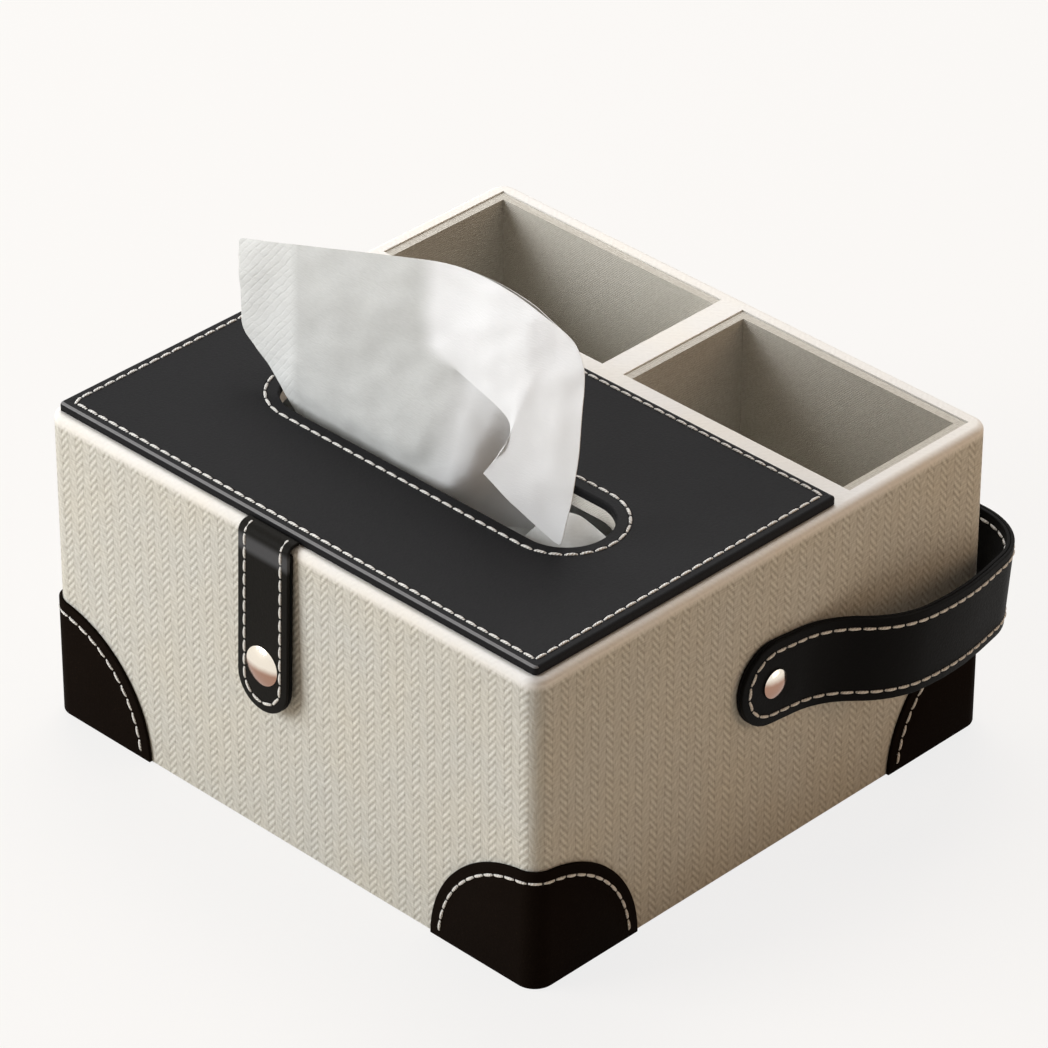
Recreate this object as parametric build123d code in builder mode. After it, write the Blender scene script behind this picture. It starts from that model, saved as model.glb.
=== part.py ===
from build123d import *
import os
from math import atan2, cos, degrees, radians, sin

# Tissue box with a hinged lid, two open bays behind it and a folding carrying strap.
# Millimetres, +Z up, origin at the middle of the underside, front face towards -Y.

os.makedirs("parts", exist_ok=True)

# ---------------------------------------------------------------- driving sizes
box_width = 220.0
box_depth = 208.0
box_height = 116.0
corner_radius = 6.0

cover_cloth = 0.8          # woven cloth over every board
wall_board = 3.6           # grey board of the four walls
base_board_height = 4.0
bottom_sheet = 0.8
sheet_inset = 1.2          # the bottom sheet stops short of the walls' outside
skirt_clear = 0.4          # cloth and guards end this far above the table
fold_depth = 14.0          # how far the outer cloth runs down inside the rim
rim_round = 1.2

partition_thickness = 9.6  # between lid chamber and bays, cloth included
lid_depth = 134.3          # front edge to hinge edge
lid_inset = 2.8            # bare rim left in front of and beside the lid
lid_lap = 0.8              # how far the hinge edge lies over the partition
divider_thickness = 9.3    # between the two bays, cloth included
divider_x = 1.6
tray_wall = 3.2
tray_floor = 2.0
tray_fit = 0.2
tray_drop = 0.6            # tray rims lie this far below the box rim

lid_gap = 0.3              # air between the rim and the closed lid
lid_board_height = 2.0
lid_skin = 0.9             # leather over the lid board
lid_corner = 1.6
lid_edge_round = 1.2
slot_edge_round = 0.8
lid_roll = 1.45             # half-round rear edge, on whose middle line the lid turns
panel_height = 4.5         # lining panel under the lid
panel_fit = 1.2
panel_corner = 3.0

slot_straight = 106.8      # straight part of the slot
slot_width = 31.0
slot_x = 3.0               # the slot lies a little right of the lid's middle,
slot_forward = 2.1         # and a little in front of it

hinge_leaf = 0.6
hinge_width = 180.0
hinge_leaf_depth = 11.0
hinge_leaf_drop = 16.0

leather = 1.3              # each layer of the closing tab, guards
tab_width = 22.6
tab_x = -6.0
tab_tip_height = 52.0
tab_bend = 3.0             # middle radius of the fold over the rim
tab_slant = 1.9            # degrees that the hanging tab leans off the wall
tab_wall_gap = 0.4
tab_knuckle_gap = 0.45
tab_tongue_length = 14.0
tab_notch_fit = 0.2
snap_height = 69.0
snap_cap_radius = 7.0
snap_cap_rise = 2.0
snap_stem_radius = 1.5
magnet_radius = 5.0
strike_radius = 6.0
strike_height = 1.3
washer_radius = 5.0
washer_height = 0.6

guard_radius = 45.0        # quarter circle round each bottom corner

strap_layer = 1.4          # each of the strap's two layers
strap_width = 30.0
strap_side_gap = 0.3
strap_tilt = 6.4           # degrees below level at rest
strap_pivot_y = 0.0
strap_pivot_height = 67.0
strap_flat = 12.0          # flat run behind the rivet
strap_bulge = 15.4         # how far the arm swings out from the wall
strap_bulge_run = 44.0
strap_taper = 15.0         # degrees that the arm turns in before the corner
strap_taper_radius = 125.0
strap_corner_radius = 25.0
strap_rear_space = 14.6    # how far the arms run past the rear wall to the crossbar's inside
rivet_stem_radius = 2.0
rivet_hole_fit = 0.3
rivet_cap_radius = 5.2
rivet_cap_rise = 1.8
rivet_cap_gap = 0.2

stack_length = 198.0       # the pile of folded tissues
stack_depth = 106.0
stack_height = 88.0
stack_round = 3.0
sheet_thickness = 1.2
sheet_rise = 61.0          # the pulled sheet's highest point above the lid
sheet_corner_rise = 34.0
sheet_gap = 0.3
sheet_foot_left = 56.0     # how far the sheet reaches to each side where it leaves the pile,
sheet_foot_right = 46.0
sheet_slot_left = 61.0     # where it passes the slot,
sheet_slot_right = 50.0
sheet_wide_left = 98.0     # and where it spreads above the lid
sheet_wide_right = 57.0
sheet_foot_lean = 5.0      # how far it stands before or behind the slot's middle
sheet_slot_lean = 8.0
sheet_mid_lean = 2.0
sheet_peak_lean = 12.0
sheet_low_wave = 2.0       # height of its soft waves
sheet_mid_wave = 6.0
sheet_peak_wave = 5.0
sheet_peak_x = 2.0

# ---------------------------------------------------------------- worked out
half_width = box_width / 2
half_depth = box_depth / 2
board_half_width = half_width - cover_cloth
board_half_depth = half_depth - cover_cloth
board_corner = max(corner_radius - cover_cloth, 0.5)
board_top = box_height - cover_cloth
room_half_width = board_half_width - wall_board
room_half_depth = board_half_depth - wall_board
inner_half_width = room_half_width - cover_cloth
inner_half_depth = room_half_depth - cover_cloth
floor_height = bottom_sheet + base_board_height
lining_top = board_top - fold_depth

lid_front = lid_inset - half_depth
lid_rear = lid_front + lid_depth
lid_half_width = half_width - lid_inset
lid_under = box_height + lid_gap
lid_board_top = lid_under + lid_board_height
lid_top = lid_board_top + lid_skin
lid_turn_y = lid_rear - lid_roll
lid_turn_z = lid_under + lid_roll
partition_front = lid_rear - lid_lap
partition_rear = partition_front + partition_thickness
lid_middle = (lid_front + lid_rear) / 2
slot_y = lid_middle - slot_forward
divider_left = divider_x - divider_thickness / 2
divider_right = divider_x + divider_thickness / 2

strap_half = strap_width / 2
strap_total = 2 * strap_layer
strap_inner_x = half_width + strap_side_gap
strap_outer_x = strap_inner_x + strap_total
strap_reach = half_depth - strap_pivot_y + strap_rear_space


def slab(x_low, x_high, y_low, y_high, z_low, z_high, mode=Mode.ADD):
    """A block given by its six faces, added to the part being built."""
    with BuildSketch(Plane.XY.offset(z_low)) as foot:
        with Locations(((x_low + x_high) / 2, (y_low + y_high) / 2)):
            Rectangle(x_high - x_low, y_high - y_low)
    extrude(foot.sketch, amount=z_high - z_low, mode=mode)


def save(name, part):
    """Label one finished piece and write it."""
    part.label = name
    export_step(part, "parts/" + name + ".step")


# ---------------------------------------------------------------- box: boards
with BuildPart() as bottom_cover:
    with BuildSketch(Plane.XY):
        RectangleRounded(box_width - 2 * sheet_inset, box_depth - 2 * sheet_inset,
                         max(corner_radius - sheet_inset, 0.5))
    extrude(amount=bottom_sheet)
save("bottom_cover", bottom_cover.part)

with BuildPart() as base_board:
    slab(-room_half_width, room_half_width, -room_half_depth, room_half_depth,
         bottom_sheet, floor_height)
save("base_board", base_board.part)

with BuildPart() as front_board:
    with BuildSketch(Plane.XY.offset(bottom_sheet)):
        RectangleRounded(2 * board_half_width, 2 * board_half_depth, board_corner)
        with Locations((0, wall_board)):
            Rectangle(2 * board_half_width, 2 * board_half_depth, mode=Mode.SUBTRACT)
    extrude(amount=board_top - bottom_sheet)
    with Locations(Plane((tab_x, -half_depth, snap_height), z_dir=(0, -1, 0))):
        Hole(radius=snap_stem_radius)
save("front_board", front_board.part)

with BuildPart() as rear_board:
    with BuildSketch(Plane.XY.offset(bottom_sheet)):
        RectangleRounded(2 * board_half_width, 2 * board_half_depth, board_corner)
        with Locations((0, -wall_board)):
            Rectangle(2 * board_half_width, 2 * board_half_depth, mode=Mode.SUBTRACT)
    extrude(amount=board_top - bottom_sheet)
save("rear_board", rear_board.part)

for side_name, side in (("left_board", -1), ("right_board", 1)):
    with BuildPart() as side_board:
        with BuildSketch(Plane.XY.offset(bottom_sheet)):
            RectangleRounded(2 * board_half_width, 2 * board_half_depth, board_corner)
            with Locations((side * (board_half_width - wall_board / 2), 0)):
                Rectangle(wall_board, 2 * room_half_depth, mode=Mode.INTERSECT)
        extrude(amount=board_top - bottom_sheet)
        with Locations(Plane((side * board_half_width, strap_pivot_y, strap_pivot_height),
                             z_dir=(side, 0, 0))):
            Hole(radius=rivet_stem_radius)
    save(side_name, side_board.part)

with BuildPart() as partition_board:
    slab(-inner_half_width, inner_half_width, partition_front + cover_cloth,
         partition_rear - cover_cloth, floor_height, board_top)
save("partition_board", partition_board.part)

with BuildPart() as divider_board:
    slab(divider_left + cover_cloth, divider_right - cover_cloth,
         partition_rear, inner_half_depth, floor_height, board_top)
save("divider_board", divider_board.part)

# ---------------------------------------------------------------- box: cloth
with BuildPart() as outer_cover:
    with BuildSketch(Plane.XY.offset(skirt_clear)):
        RectangleRounded(box_width, box_depth, corner_radius)
    extrude(amount=box_height - skirt_clear)
    fillet(outer_cover.faces().sort_by(Axis.Z)[-1].edges(), radius=min(rim_round, 1.5 * cover_cloth))
    with BuildSketch(Plane.XY):
        RectangleRounded(2 * board_half_width, 2 * board_half_depth, board_corner)
    extrude(amount=board_top, mode=Mode.SUBTRACT)
    slab(-inner_half_width, inner_half_width, -inner_half_depth, inner_half_depth,
         board_top, box_height, mode=Mode.SUBTRACT)
    with BuildSketch(Plane.XY.offset(lining_top)):
        Rectangle(2 * room_half_width, 2 * room_half_depth)
        Rectangle(2 * inner_half_width, 2 * inner_half_depth, mode=Mode.SUBTRACT)
    extrude(amount=board_top - lining_top)
    with Locations(Plane((tab_x, -half_depth, snap_height), z_dir=(0, -1, 0))):
        Hole(radius=snap_stem_radius, depth=2 * cover_cloth)
    for side in (-1, 1):
        with Locations(Plane((side * half_width, strap_pivot_y, strap_pivot_height),
                             z_dir=(side, 0, 0))):
            Hole(radius=rivet_stem_radius, depth=2 * cover_cloth)
save("outer_cover", outer_cover.part)

with BuildPart() as partition_cover:
    slab(-inner_half_width, inner_half_width, partition_front, partition_rear,
         floor_height, box_height)
    slab(-inner_half_width, inner_half_width, partition_front + cover_cloth,
         partition_rear - cover_cloth, floor_height, board_top, mode=Mode.SUBTRACT)
save("partition_cover", partition_cover.part)

with BuildPart() as divider_cover:
    slab(divider_left, divider_right, partition_rear, inner_half_depth,
         floor_height, box_height)
    slab(divider_left + cover_cloth, divider_right - cover_cloth,
         partition_rear, inner_half_depth, floor_height, board_top, mode=Mode.SUBTRACT)
save("divider_cover", divider_cover.part)

with BuildPart() as chamber_lining:
    slab(-room_half_width, room_half_width, -room_half_depth, partition_front,
         floor_height, lining_top)
    slab(-inner_half_width, inner_half_width, -inner_half_depth, partition_front,
         floor_height + cover_cloth, lining_top, mode=Mode.SUBTRACT)
    with Locations(Plane((tab_x, -inner_half_depth, snap_height), z_dir=(0, 1, 0))):
        Hole(radius=snap_stem_radius, depth=2 * cover_cloth)
    for side in (-1, 1):
        with Locations(Plane((side * room_half_width, strap_pivot_y, strap_pivot_height),
                             z_dir=(side, 0, 0))):
            Hole(radius=rivet_stem_radius, depth=2 * cover_cloth)
save("chamber_lining", chamber_lining.part)


# ---------------------------------------------------------------- box: bay trays
tray_front = partition_rear + tray_fit
tray_rear = inner_half_depth - tray_fit
tray_top = box_height - tray_drop
tray_floor_top = floor_height + tray_floor

with BuildPart() as right_bay_tray:
    right_tray_left = divider_right + tray_fit
    right_tray_right = inner_half_width - tray_fit
    slab(right_tray_left, right_tray_right, tray_front, tray_rear, floor_height, tray_top)
    slab(right_tray_left + tray_wall, right_tray_right - tray_wall,
         tray_front, tray_rear - tray_wall, tray_floor_top, tray_top, mode=Mode.SUBTRACT)
save("right_bay_tray", right_bay_tray.part)

with BuildPart() as left_bay_tray:
    left_tray_left = tray_fit - inner_half_width
    left_tray_right = divider_left - tray_fit
    slab(left_tray_left, left_tray_right, tray_front, tray_rear, floor_height, tray_top)
    slab(left_tray_left + tray_wall, left_tray_right,
         tray_front, tray_rear - tray_wall, tray_floor_top, tray_top, mode=Mode.SUBTRACT)
save("left_bay_tray", left_bay_tray.part)

# ---------------------------------------------------------------- box: corner guards
for guard_name, x_side, y_side in (("guard_front_left", -1, -1), ("guard_front_right", 1, -1),
                                   ("guard_rear_left", -1, 1), ("guard_rear_right", 1, 1)):
    corner_x = x_side * half_width
    corner_y = y_side * half_depth
    with BuildPart() as guard:
        with BuildSketch(Plane.XY.offset(skirt_clear)):
            RectangleRounded(box_width + 2 * leather, box_depth + 2 * leather,
                             corner_radius + leather)
            RectangleRounded(box_width, box_depth, corner_radius, mode=Mode.SUBTRACT)
        extrude(amount=guard_radius)
        with BuildSketch(Plane.XZ.offset(-corner_y)):
            with Locations((corner_x, 0)):
                Circle(guard_radius)
        extrude(amount=guard_radius + corner_radius, both=True, mode=Mode.INTERSECT)
        with BuildSketch(Plane.YZ.offset(corner_x)):
            with Locations((corner_y, 0)):
                Circle(guard_radius)
        extrude(amount=guard_radius + corner_radius, both=True, mode=Mode.INTERSECT)
    save(guard_name, guard.part)


# ---------------------------------------------------------------- lid
def slot_cut(width, z_low, z_high):
    """Cut the dispensing slot, a straight run with half-round ends."""
    with BuildSketch(Plane.XY.offset(z_low)) as opening:
        with Locations((slot_x, slot_y)):
            SlotCenterToCenter(slot_straight, width)
    extrude(opening.sketch, amount=z_high - z_low, mode=Mode.SUBTRACT)


tab_left = tab_x - tab_width / 2
tab_right = tab_x + tab_width / 2
tongue_rear = lid_front + tab_tongue_length
tongue_top = lid_under + leather
leaf_rear = lid_turn_y - lid_roll / 5
leaf_front = leaf_rear - hinge_leaf_depth

with BuildPart() as lid_board:
    with BuildSketch(Plane.XY.offset(lid_under)):
        with Locations((0, lid_middle)):
            RectangleRounded(2 * (lid_half_width - lid_skin), lid_depth - 2 * lid_skin,
                             lid_corner - lid_skin)
    extrude(amount=lid_board_height)
    slab(-half_width, half_width, lid_turn_y, half_depth, lid_under, lid_top, mode=Mode.SUBTRACT)
    slot_cut(slot_width + 2 * lid_skin, lid_under, lid_board_top)
    slab(tab_left, tab_right, lid_front, tongue_rear, lid_under, tongue_top, mode=Mode.SUBTRACT)
    slab(-hinge_width / 2, hinge_width / 2, leaf_front, leaf_rear,
         lid_under, lid_under + hinge_leaf, mode=Mode.SUBTRACT)
save("lid_board", lid_board.part)

with BuildPart() as lid_leather:
    with BuildSketch(Plane.XY.offset(lid_under)):
        with Locations((0, lid_middle)):
            RectangleRounded(2 * lid_half_width, lid_depth, lid_corner)
    extrude(amount=lid_top - lid_under)
    fillet(lid_leather.faces().sort_by(Axis.Z)[-1].edges(), radius=lid_edge_round)
    with BuildSketch(Plane.YZ):
        with Locations((lid_turn_y, lid_turn_z)):
            Circle(lid_roll)
        with Locations(((lid_front + lid_turn_y) / 2, (lid_under + lid_top) / 2)):
            Rectangle(lid_turn_y - lid_front, lid_top - lid_under)
    extrude(amount=half_width, both=True, mode=Mode.INTERSECT)
    with BuildSketch(Plane.XY.offset(lid_under)):
        with Locations((0, lid_middle)):
            RectangleRounded(2 * (lid_half_width - lid_skin), lid_depth - 2 * lid_skin,
                             lid_corner - lid_skin)
        with Locations((slot_x, slot_y)):
            SlotCenterToCenter(slot_straight, slot_width + 2 * lid_skin, mode=Mode.SUBTRACT)
        with Locations((0, (lid_turn_y + half_depth) / 2)):
            Rectangle(box_width, half_depth - lid_turn_y, mode=Mode.SUBTRACT)
    extrude(amount=lid_board_height, mode=Mode.SUBTRACT)
    slot_cut(slot_width, lid_under, lid_top)
    slot_rim = lid_leather.faces().sort_by(Axis.Z)[-1].inner_wires()[0]
    fillet(slot_rim.edges(), radius=slot_edge_round)
    slab(tab_left - tab_notch_fit, tab_right + tab_notch_fit, lid_front, lid_front + lid_skin,
         lid_under, tongue_top, mode=Mode.SUBTRACT)
save("lid_leather", lid_leather.part)

panel_under = lid_under - panel_height
with BuildPart() as lid_panel:
    panel_front = panel_fit - inner_half_depth
    panel_rear = partition_front - panel_fit
    with BuildSketch(Plane.XY.offset(panel_under)):
        with Locations((0, (panel_front + panel_rear) / 2)):
            RectangleRounded(2 * (inner_half_width - panel_fit), panel_rear - panel_front,
                             panel_corner)
    extrude(amount=panel_height)
    slot_cut(slot_width, panel_under, lid_under)
save("lid_panel", lid_panel.part)

with BuildPart() as hinge_leaf_lid:
    slab(-hinge_width / 2, hinge_width / 2, leaf_front, leaf_rear,
         lid_under, lid_under + hinge_leaf)
save("hinge_leaf_lid", hinge_leaf_lid.part)

with BuildPart() as hinge_leaf_box:
    slab(-hinge_width / 2, hinge_width / 2, partition_front - hinge_leaf, partition_front,
         box_height - hinge_leaf_drop, box_height)
save("hinge_leaf_box", hinge_leaf_box.part)

# ---------------------------------------------------------------- closing tab
with BuildPart() as tab_tongue:
    slab(tab_left, tab_right, lid_front, tongue_rear, lid_under, tongue_top)
save("tab_tongue", tab_tongue.part)

# The outer layer starts in a round knuckle in front of the lid, folds over the rim and hangs.
knuckle_y = lid_front - leather / 2 - tab_knuckle_gap
knuckle_z = lid_under + leather / 2
fold_turn = 90 - tab_slant
wall_face = -half_depth - tab_wall_gap
fold_end_y = wall_face - 1.5 * leather / cos(radians(tab_slant))
fold_start_y = fold_end_y + tab_bend * sin(radians(fold_turn))
fold_centre_z = knuckle_z - tab_bend
fold_end_z = fold_centre_z + tab_bend * cos(radians(fold_turn))
hang_length = (fold_end_z - tab_tip_height) / cos(radians(tab_slant))
tab_plane = Plane(origin=(tab_x, 0, 0), x_dir=(0, 1, 0), z_dir=(1, 0, 0))
hang_plane = Plane(origin=(tab_x, fold_end_y, fold_end_z), x_dir=(1, 0, 0),
                   z_dir=(0, -cos(radians(tab_slant)), sin(radians(tab_slant))))
snap_drop = (fold_end_z - snap_height) / cos(radians(tab_slant))


def tab_outline(reach):
    """The tab seen square on: parallel sides and a half-round tip, cut out of a layer."""
    with BuildSketch(hang_plane) as outline:
        with Locations((0, (reach - hang_length) / 2 + tab_width / 4)):
            Rectangle(tab_width, reach + hang_length - tab_width / 2)
        with Locations((0, tab_width / 2 - hang_length)):
            Circle(tab_width / 2)
    extrude(outline.sketch, amount=4 * tab_width, both=True, mode=Mode.INTERSECT)


with BuildPart() as tab_outer:
    with BuildSketch(tab_plane):
        with BuildLine():
            tab_run = Line((knuckle_y, knuckle_z), (fold_start_y, knuckle_z))
            tab_fold = JernArc(tab_run @ 1, (-1, 0), tab_bend, fold_turn)
            Line(tab_fold @ 1, (fold_end_y - hang_length * sin(radians(tab_slant)),
                                tab_tip_height))
        trace(line_width=leather)
        with Locations((knuckle_y, knuckle_z)):
            Circle(leather / 2)
    extrude(amount=tab_width / 2, both=True)
    tab_outline(4 * tab_bend)
    with Locations(hang_plane * Location((0, -snap_drop, 0))):
        Hole(radius=snap_stem_radius)
save("tab_outer", tab_outer.part)

with BuildPart() as tab_inner:
    with BuildSketch(hang_plane.offset(-1.5 * leather)):
        with Locations((0, -hang_length / 2)):
            Rectangle(tab_width, hang_length)
    extrude(amount=leather)
    tab_outline(0)
    with Locations(hang_plane * Location((0, -snap_drop, 0))):
        Hole(radius=magnet_radius)
save("tab_inner", tab_inner.part)

with BuildPart() as tab_magnet:
    with BuildSketch(hang_plane.offset(-1.5 * leather)):
        with Locations((0, -snap_drop)):
            Circle(magnet_radius)
    extrude(amount=leather)
save("tab_magnet", tab_magnet.part)

with BuildPart() as snap_cap:
    cap_sphere = (snap_cap_radius ** 2 + snap_cap_rise ** 2) / (2 * snap_cap_rise)
    cap_depth = 0.5 * leather + snap_cap_rise - cap_sphere
    with Locations(hang_plane * Location((0, -snap_drop, cap_depth))):
        Sphere(cap_sphere)
    with BuildSketch(hang_plane.offset(0.5 * leather)):
        with Locations((0, -snap_drop)):
            Circle(2 * snap_cap_radius)
    extrude(amount=-3 * cap_sphere, mode=Mode.SUBTRACT)
    with BuildSketch(hang_plane.offset(-0.5 * leather)):
        with Locations((0, -snap_drop)):
            Circle(snap_stem_radius)
    extrude(amount=leather)
save("snap_cap", snap_cap.part)

snap_plane = Plane((tab_x, -half_depth, snap_height), x_dir=(1, 0, 0), z_dir=(0, -1, 0))
front_wall = cover_cloth + wall_board + cover_cloth
with BuildPart() as snap_strike:
    with BuildSketch(snap_plane):
        Circle(strike_radius)
    extrude(amount=strike_height)
    with BuildSketch(snap_plane):
        Circle(snap_stem_radius)
    extrude(amount=-(front_wall + washer_height))
save("snap_strike", snap_strike.part)

with BuildPart() as snap_washer:
    with BuildSketch(snap_plane.offset(-front_wall)):
        Circle(washer_radius)
        Circle(snap_stem_radius, mode=Mode.SUBTRACT)
    extrude(amount=-washer_height)
save("snap_washer", snap_washer.part)

# ---------------------------------------------------------------- carrying strap
# Drawn in its own plane, which leans back and down: x across the box, y along the arms.
tilt = radians(strap_tilt)
strap_plane = Plane(origin=(0, strap_pivot_y, strap_pivot_height), x_dir=(1, 0, 0),
                    z_dir=(0, sin(tilt), cos(tilt)))
swing_half = atan2(strap_bulge, strap_bulge_run)
swing_turn = degrees(2 * swing_half)
swing_radius = strap_bulge_run / (2 * sin(2 * swing_half))
corner_turn = 90 - strap_taper
bulge_end = strap_flat + strap_bulge_run
taper_run = strap_taper_radius * sin(radians(strap_taper))
corner_run = strap_corner_radius * (1 - sin(radians(strap_taper)))
straight_run = (strap_reach - bulge_end - taper_run - corner_run) / cos(radians(strap_taper))


def strap_line(out):
    """One side of the strap's edge line, out millimetres off its inner face."""
    flat = Line((strap_inner_x + out, -strap_half), (strap_inner_x + out, strap_flat))
    away = JernArc(flat @ 1, (0, 1), swing_radius - out, -swing_turn)
    back = JernArc(away @ 1, away % 1, swing_radius + out, swing_turn)
    taper = JernArc(back @ 1, back % 1, strap_taper_radius + out, strap_taper)
    straight = Line(taper @ 1, (taper @ 1) + (taper % 1) * straight_run)
    corner = JernArc(straight @ 1, straight % 1, strap_corner_radius + out, corner_turn)
    return Line(corner @ 1, (0, strap_reach + out))


def strap_layer_part(near, far):
    """A layer of the strap between two distances off its inner face, both arms."""
    with BuildPart() as layer:
        with BuildSketch(strap_plane):
            with BuildLine():
                inner = strap_line(near)
                outer = strap_line(far)
                Line(inner @ 1, outer @ 1)
                Line((strap_inner_x + near, -strap_half), (strap_inner_x + far, -strap_half))
            make_face()
        extrude(amount=strap_half, both=True)
        with BuildSketch(Plane(origin=strap_plane.origin, x_dir=(0, cos(tilt), -sin(tilt)),
                               z_dir=(1, 0, 0))):
            Circle(strap_half)
            with Locations(((strap_reach + strap_total) / 2, 0)):
                Rectangle(strap_reach + strap_total, strap_width)
        extrude(amount=box_width, mode=Mode.INTERSECT)
        with Locations(Plane((strap_outer_x + strap_layer, strap_pivot_y, strap_pivot_height),
                             z_dir=(1, 0, 0))):
            Hole(radius=rivet_stem_radius + rivet_hole_fit)
        mirror(about=Plane.YZ)
    return layer.part


save("handle_inner", strap_layer_part(0, strap_layer))
save("handle_outer", strap_layer_part(strap_layer, strap_total))

side_wall = cover_cloth + wall_board + cover_cloth
cap_face = strap_side_gap + strap_total + rivet_cap_gap
for side_name, side in (("left", -1), ("right", 1)):
    rivet_plane = Plane((side * half_width, strap_pivot_y, strap_pivot_height),
                        x_dir=(0, side, 0), z_dir=(side, 0, 0))
    with BuildPart() as rivet:
        rivet_sphere = (rivet_cap_radius ** 2 + rivet_cap_rise ** 2) / (2 * rivet_cap_rise)
        with Locations(rivet_plane * Location((0, 0, cap_face + rivet_cap_rise - rivet_sphere))):
            Sphere(rivet_sphere)
        with BuildSketch(rivet_plane.offset(cap_face)):
            Circle(2 * rivet_sphere)
        extrude(amount=-3 * rivet_sphere, mode=Mode.SUBTRACT)
        with BuildSketch(rivet_plane.offset(cap_face)):
            Circle(rivet_stem_radius)
        extrude(amount=-(cap_face + side_wall + washer_height))
    save("handle_rivet_" + side_name, rivet.part)
    with BuildPart() as washer:
        with BuildSketch(rivet_plane.offset(-side_wall)):
            Circle(washer_radius)
            Circle(rivet_stem_radius, mode=Mode.SUBTRACT)
        extrude(amount=-washer_height)
    save("handle_washer_" + side_name, washer.part)

# ---------------------------------------------------------------- tissues
stack_base = floor_height + cover_cloth
stack_top = stack_base + stack_height
with BuildPart() as tissue_stack:
    with BuildSketch(Plane.XY.offset(stack_base)):
        with Locations((0, lid_middle)):
            RectangleRounded(stack_length, stack_depth, stack_round)
    extrude(amount=stack_height)
    fillet(tissue_stack.faces().sort_by(Axis.Z)[-1].edges(), radius=stack_round / 2)
save("tissue_stack", tissue_stack.part)


def sheet_section(height, left, right, lean, wave):
    """The sheet cut level: a thin band with three soft waves, lean behind the slot's middle."""
    y_middle = slot_y + lean
    step = (right - left) / 3
    low = y_middle - sheet_thickness / 2
    high = y_middle + sheet_thickness / 2
    with BuildSketch(Plane.XY.offset(height)) as section:
        with BuildLine():
            for count, bow in enumerate((wave, -wave, wave)):
                start = left + count * step
                ThreePointArc((start, low), (start + step / 2, low + bow), (start + step, low))
                ThreePointArc((start, high), (start + step / 2, high + bow), (start + step, high))
            Line((left, low), (left, high))
            Line((right, low), (right, high))
        make_face()
    return section.sketch


# The sheet leans back from the slot's front edge. It is cut to its corners and sloping top.
with BuildPart() as tissue_sheet:
    sheet_base = stack_top + sheet_gap
    sheet_levels = [
        sheet_section(sheet_base, -sheet_foot_left, sheet_foot_right,
                      -sheet_foot_lean, sheet_low_wave),
        sheet_section(lid_top, -sheet_slot_left, sheet_slot_right,
                      -sheet_slot_lean, sheet_low_wave),
        sheet_section(lid_top + sheet_corner_rise, -sheet_wide_left, sheet_wide_right,
                      sheet_mid_lean, sheet_mid_wave),
        sheet_section(lid_top + sheet_rise + sheet_thickness, -sheet_wide_left,
                      sheet_wide_right, sheet_peak_lean, sheet_peak_wave),
    ]
    loft(sheet_levels, ruled=True)
    sheet_corner = (-sheet_wide_left, lid_top + sheet_corner_rise)
    sheet_peak = (sheet_peak_x, lid_top + sheet_rise)
    sheet_shoulder = (sheet_wide_right, lid_top + 0.49 * sheet_rise)
    with BuildSketch(Plane.XZ):
        with BuildLine():
            Line((sheet_corner[0], sheet_base), sheet_corner)
            ThreePointArc(sheet_corner, (-0.46 * sheet_wide_left, lid_top + 0.83 * sheet_rise),
                          sheet_peak)
            ThreePointArc(sheet_peak, (0.7 * sheet_wide_right, lid_top + 0.9 * sheet_rise),
                          sheet_shoulder)
            Line(sheet_shoulder, (sheet_shoulder[0], sheet_base))
            Line((sheet_shoulder[0], sheet_base), (sheet_corner[0], sheet_base))
        make_face()
    extrude(amount=half_depth, both=True, mode=Mode.INTERSECT)
save("tissue_sheet", tissue_sheet.part)
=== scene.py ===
# %% [markdown]
# # A covered tissue box, dressed in cloth, leather and thread
# The solids of this box come from CAD at their real size. They are the fixed frame here: walls, lid,
# closing tab, carrying strap, corner guards and metal fittings all have their place already. This lesson
# gives them their looks. Some solids stay and only get a finish, and some are replaced by softer shapes.
# Everything is in metres, so a helper turns millimetres, a maker's unit, into metres.

# %% Load the solids
import math

import bmesh
import bpy
from mathutils import Matrix, Quaternion, Vector


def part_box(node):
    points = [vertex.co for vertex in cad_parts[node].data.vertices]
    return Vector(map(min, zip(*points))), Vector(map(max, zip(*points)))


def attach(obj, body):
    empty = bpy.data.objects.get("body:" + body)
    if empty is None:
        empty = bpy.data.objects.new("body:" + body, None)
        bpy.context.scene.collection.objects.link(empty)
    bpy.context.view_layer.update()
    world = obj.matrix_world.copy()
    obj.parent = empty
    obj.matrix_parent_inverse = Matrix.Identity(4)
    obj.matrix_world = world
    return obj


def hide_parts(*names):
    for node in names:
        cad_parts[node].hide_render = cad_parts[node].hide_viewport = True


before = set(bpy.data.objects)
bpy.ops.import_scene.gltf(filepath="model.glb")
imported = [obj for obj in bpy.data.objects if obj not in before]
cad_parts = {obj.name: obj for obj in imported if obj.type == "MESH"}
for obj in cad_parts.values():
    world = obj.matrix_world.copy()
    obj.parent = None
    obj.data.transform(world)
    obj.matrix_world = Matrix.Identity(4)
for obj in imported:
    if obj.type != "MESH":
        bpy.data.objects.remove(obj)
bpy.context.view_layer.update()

mm = 0.001

# %% [markdown]
# ## The camera
# A product photograph is taken from far away with a long lens, so the box's edges stay almost parallel.
# The camera stands 45 degrees round to the right and 33 degrees up. It is placed first, so that every
# later step can be judged in the same picture. It looks along its own axis, with a trace of roll.

# %% Camera
camera_data = bpy.data.cameras.new("camera")
camera_data.sensor_width = 36.0
camera_data.lens = 206.8
camera_data.clip_end = 20.0
camera = bpy.data.objects.new("camera", camera_data)
bpy.context.scene.collection.objects.link(camera)
bpy.context.scene.camera = camera

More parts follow.
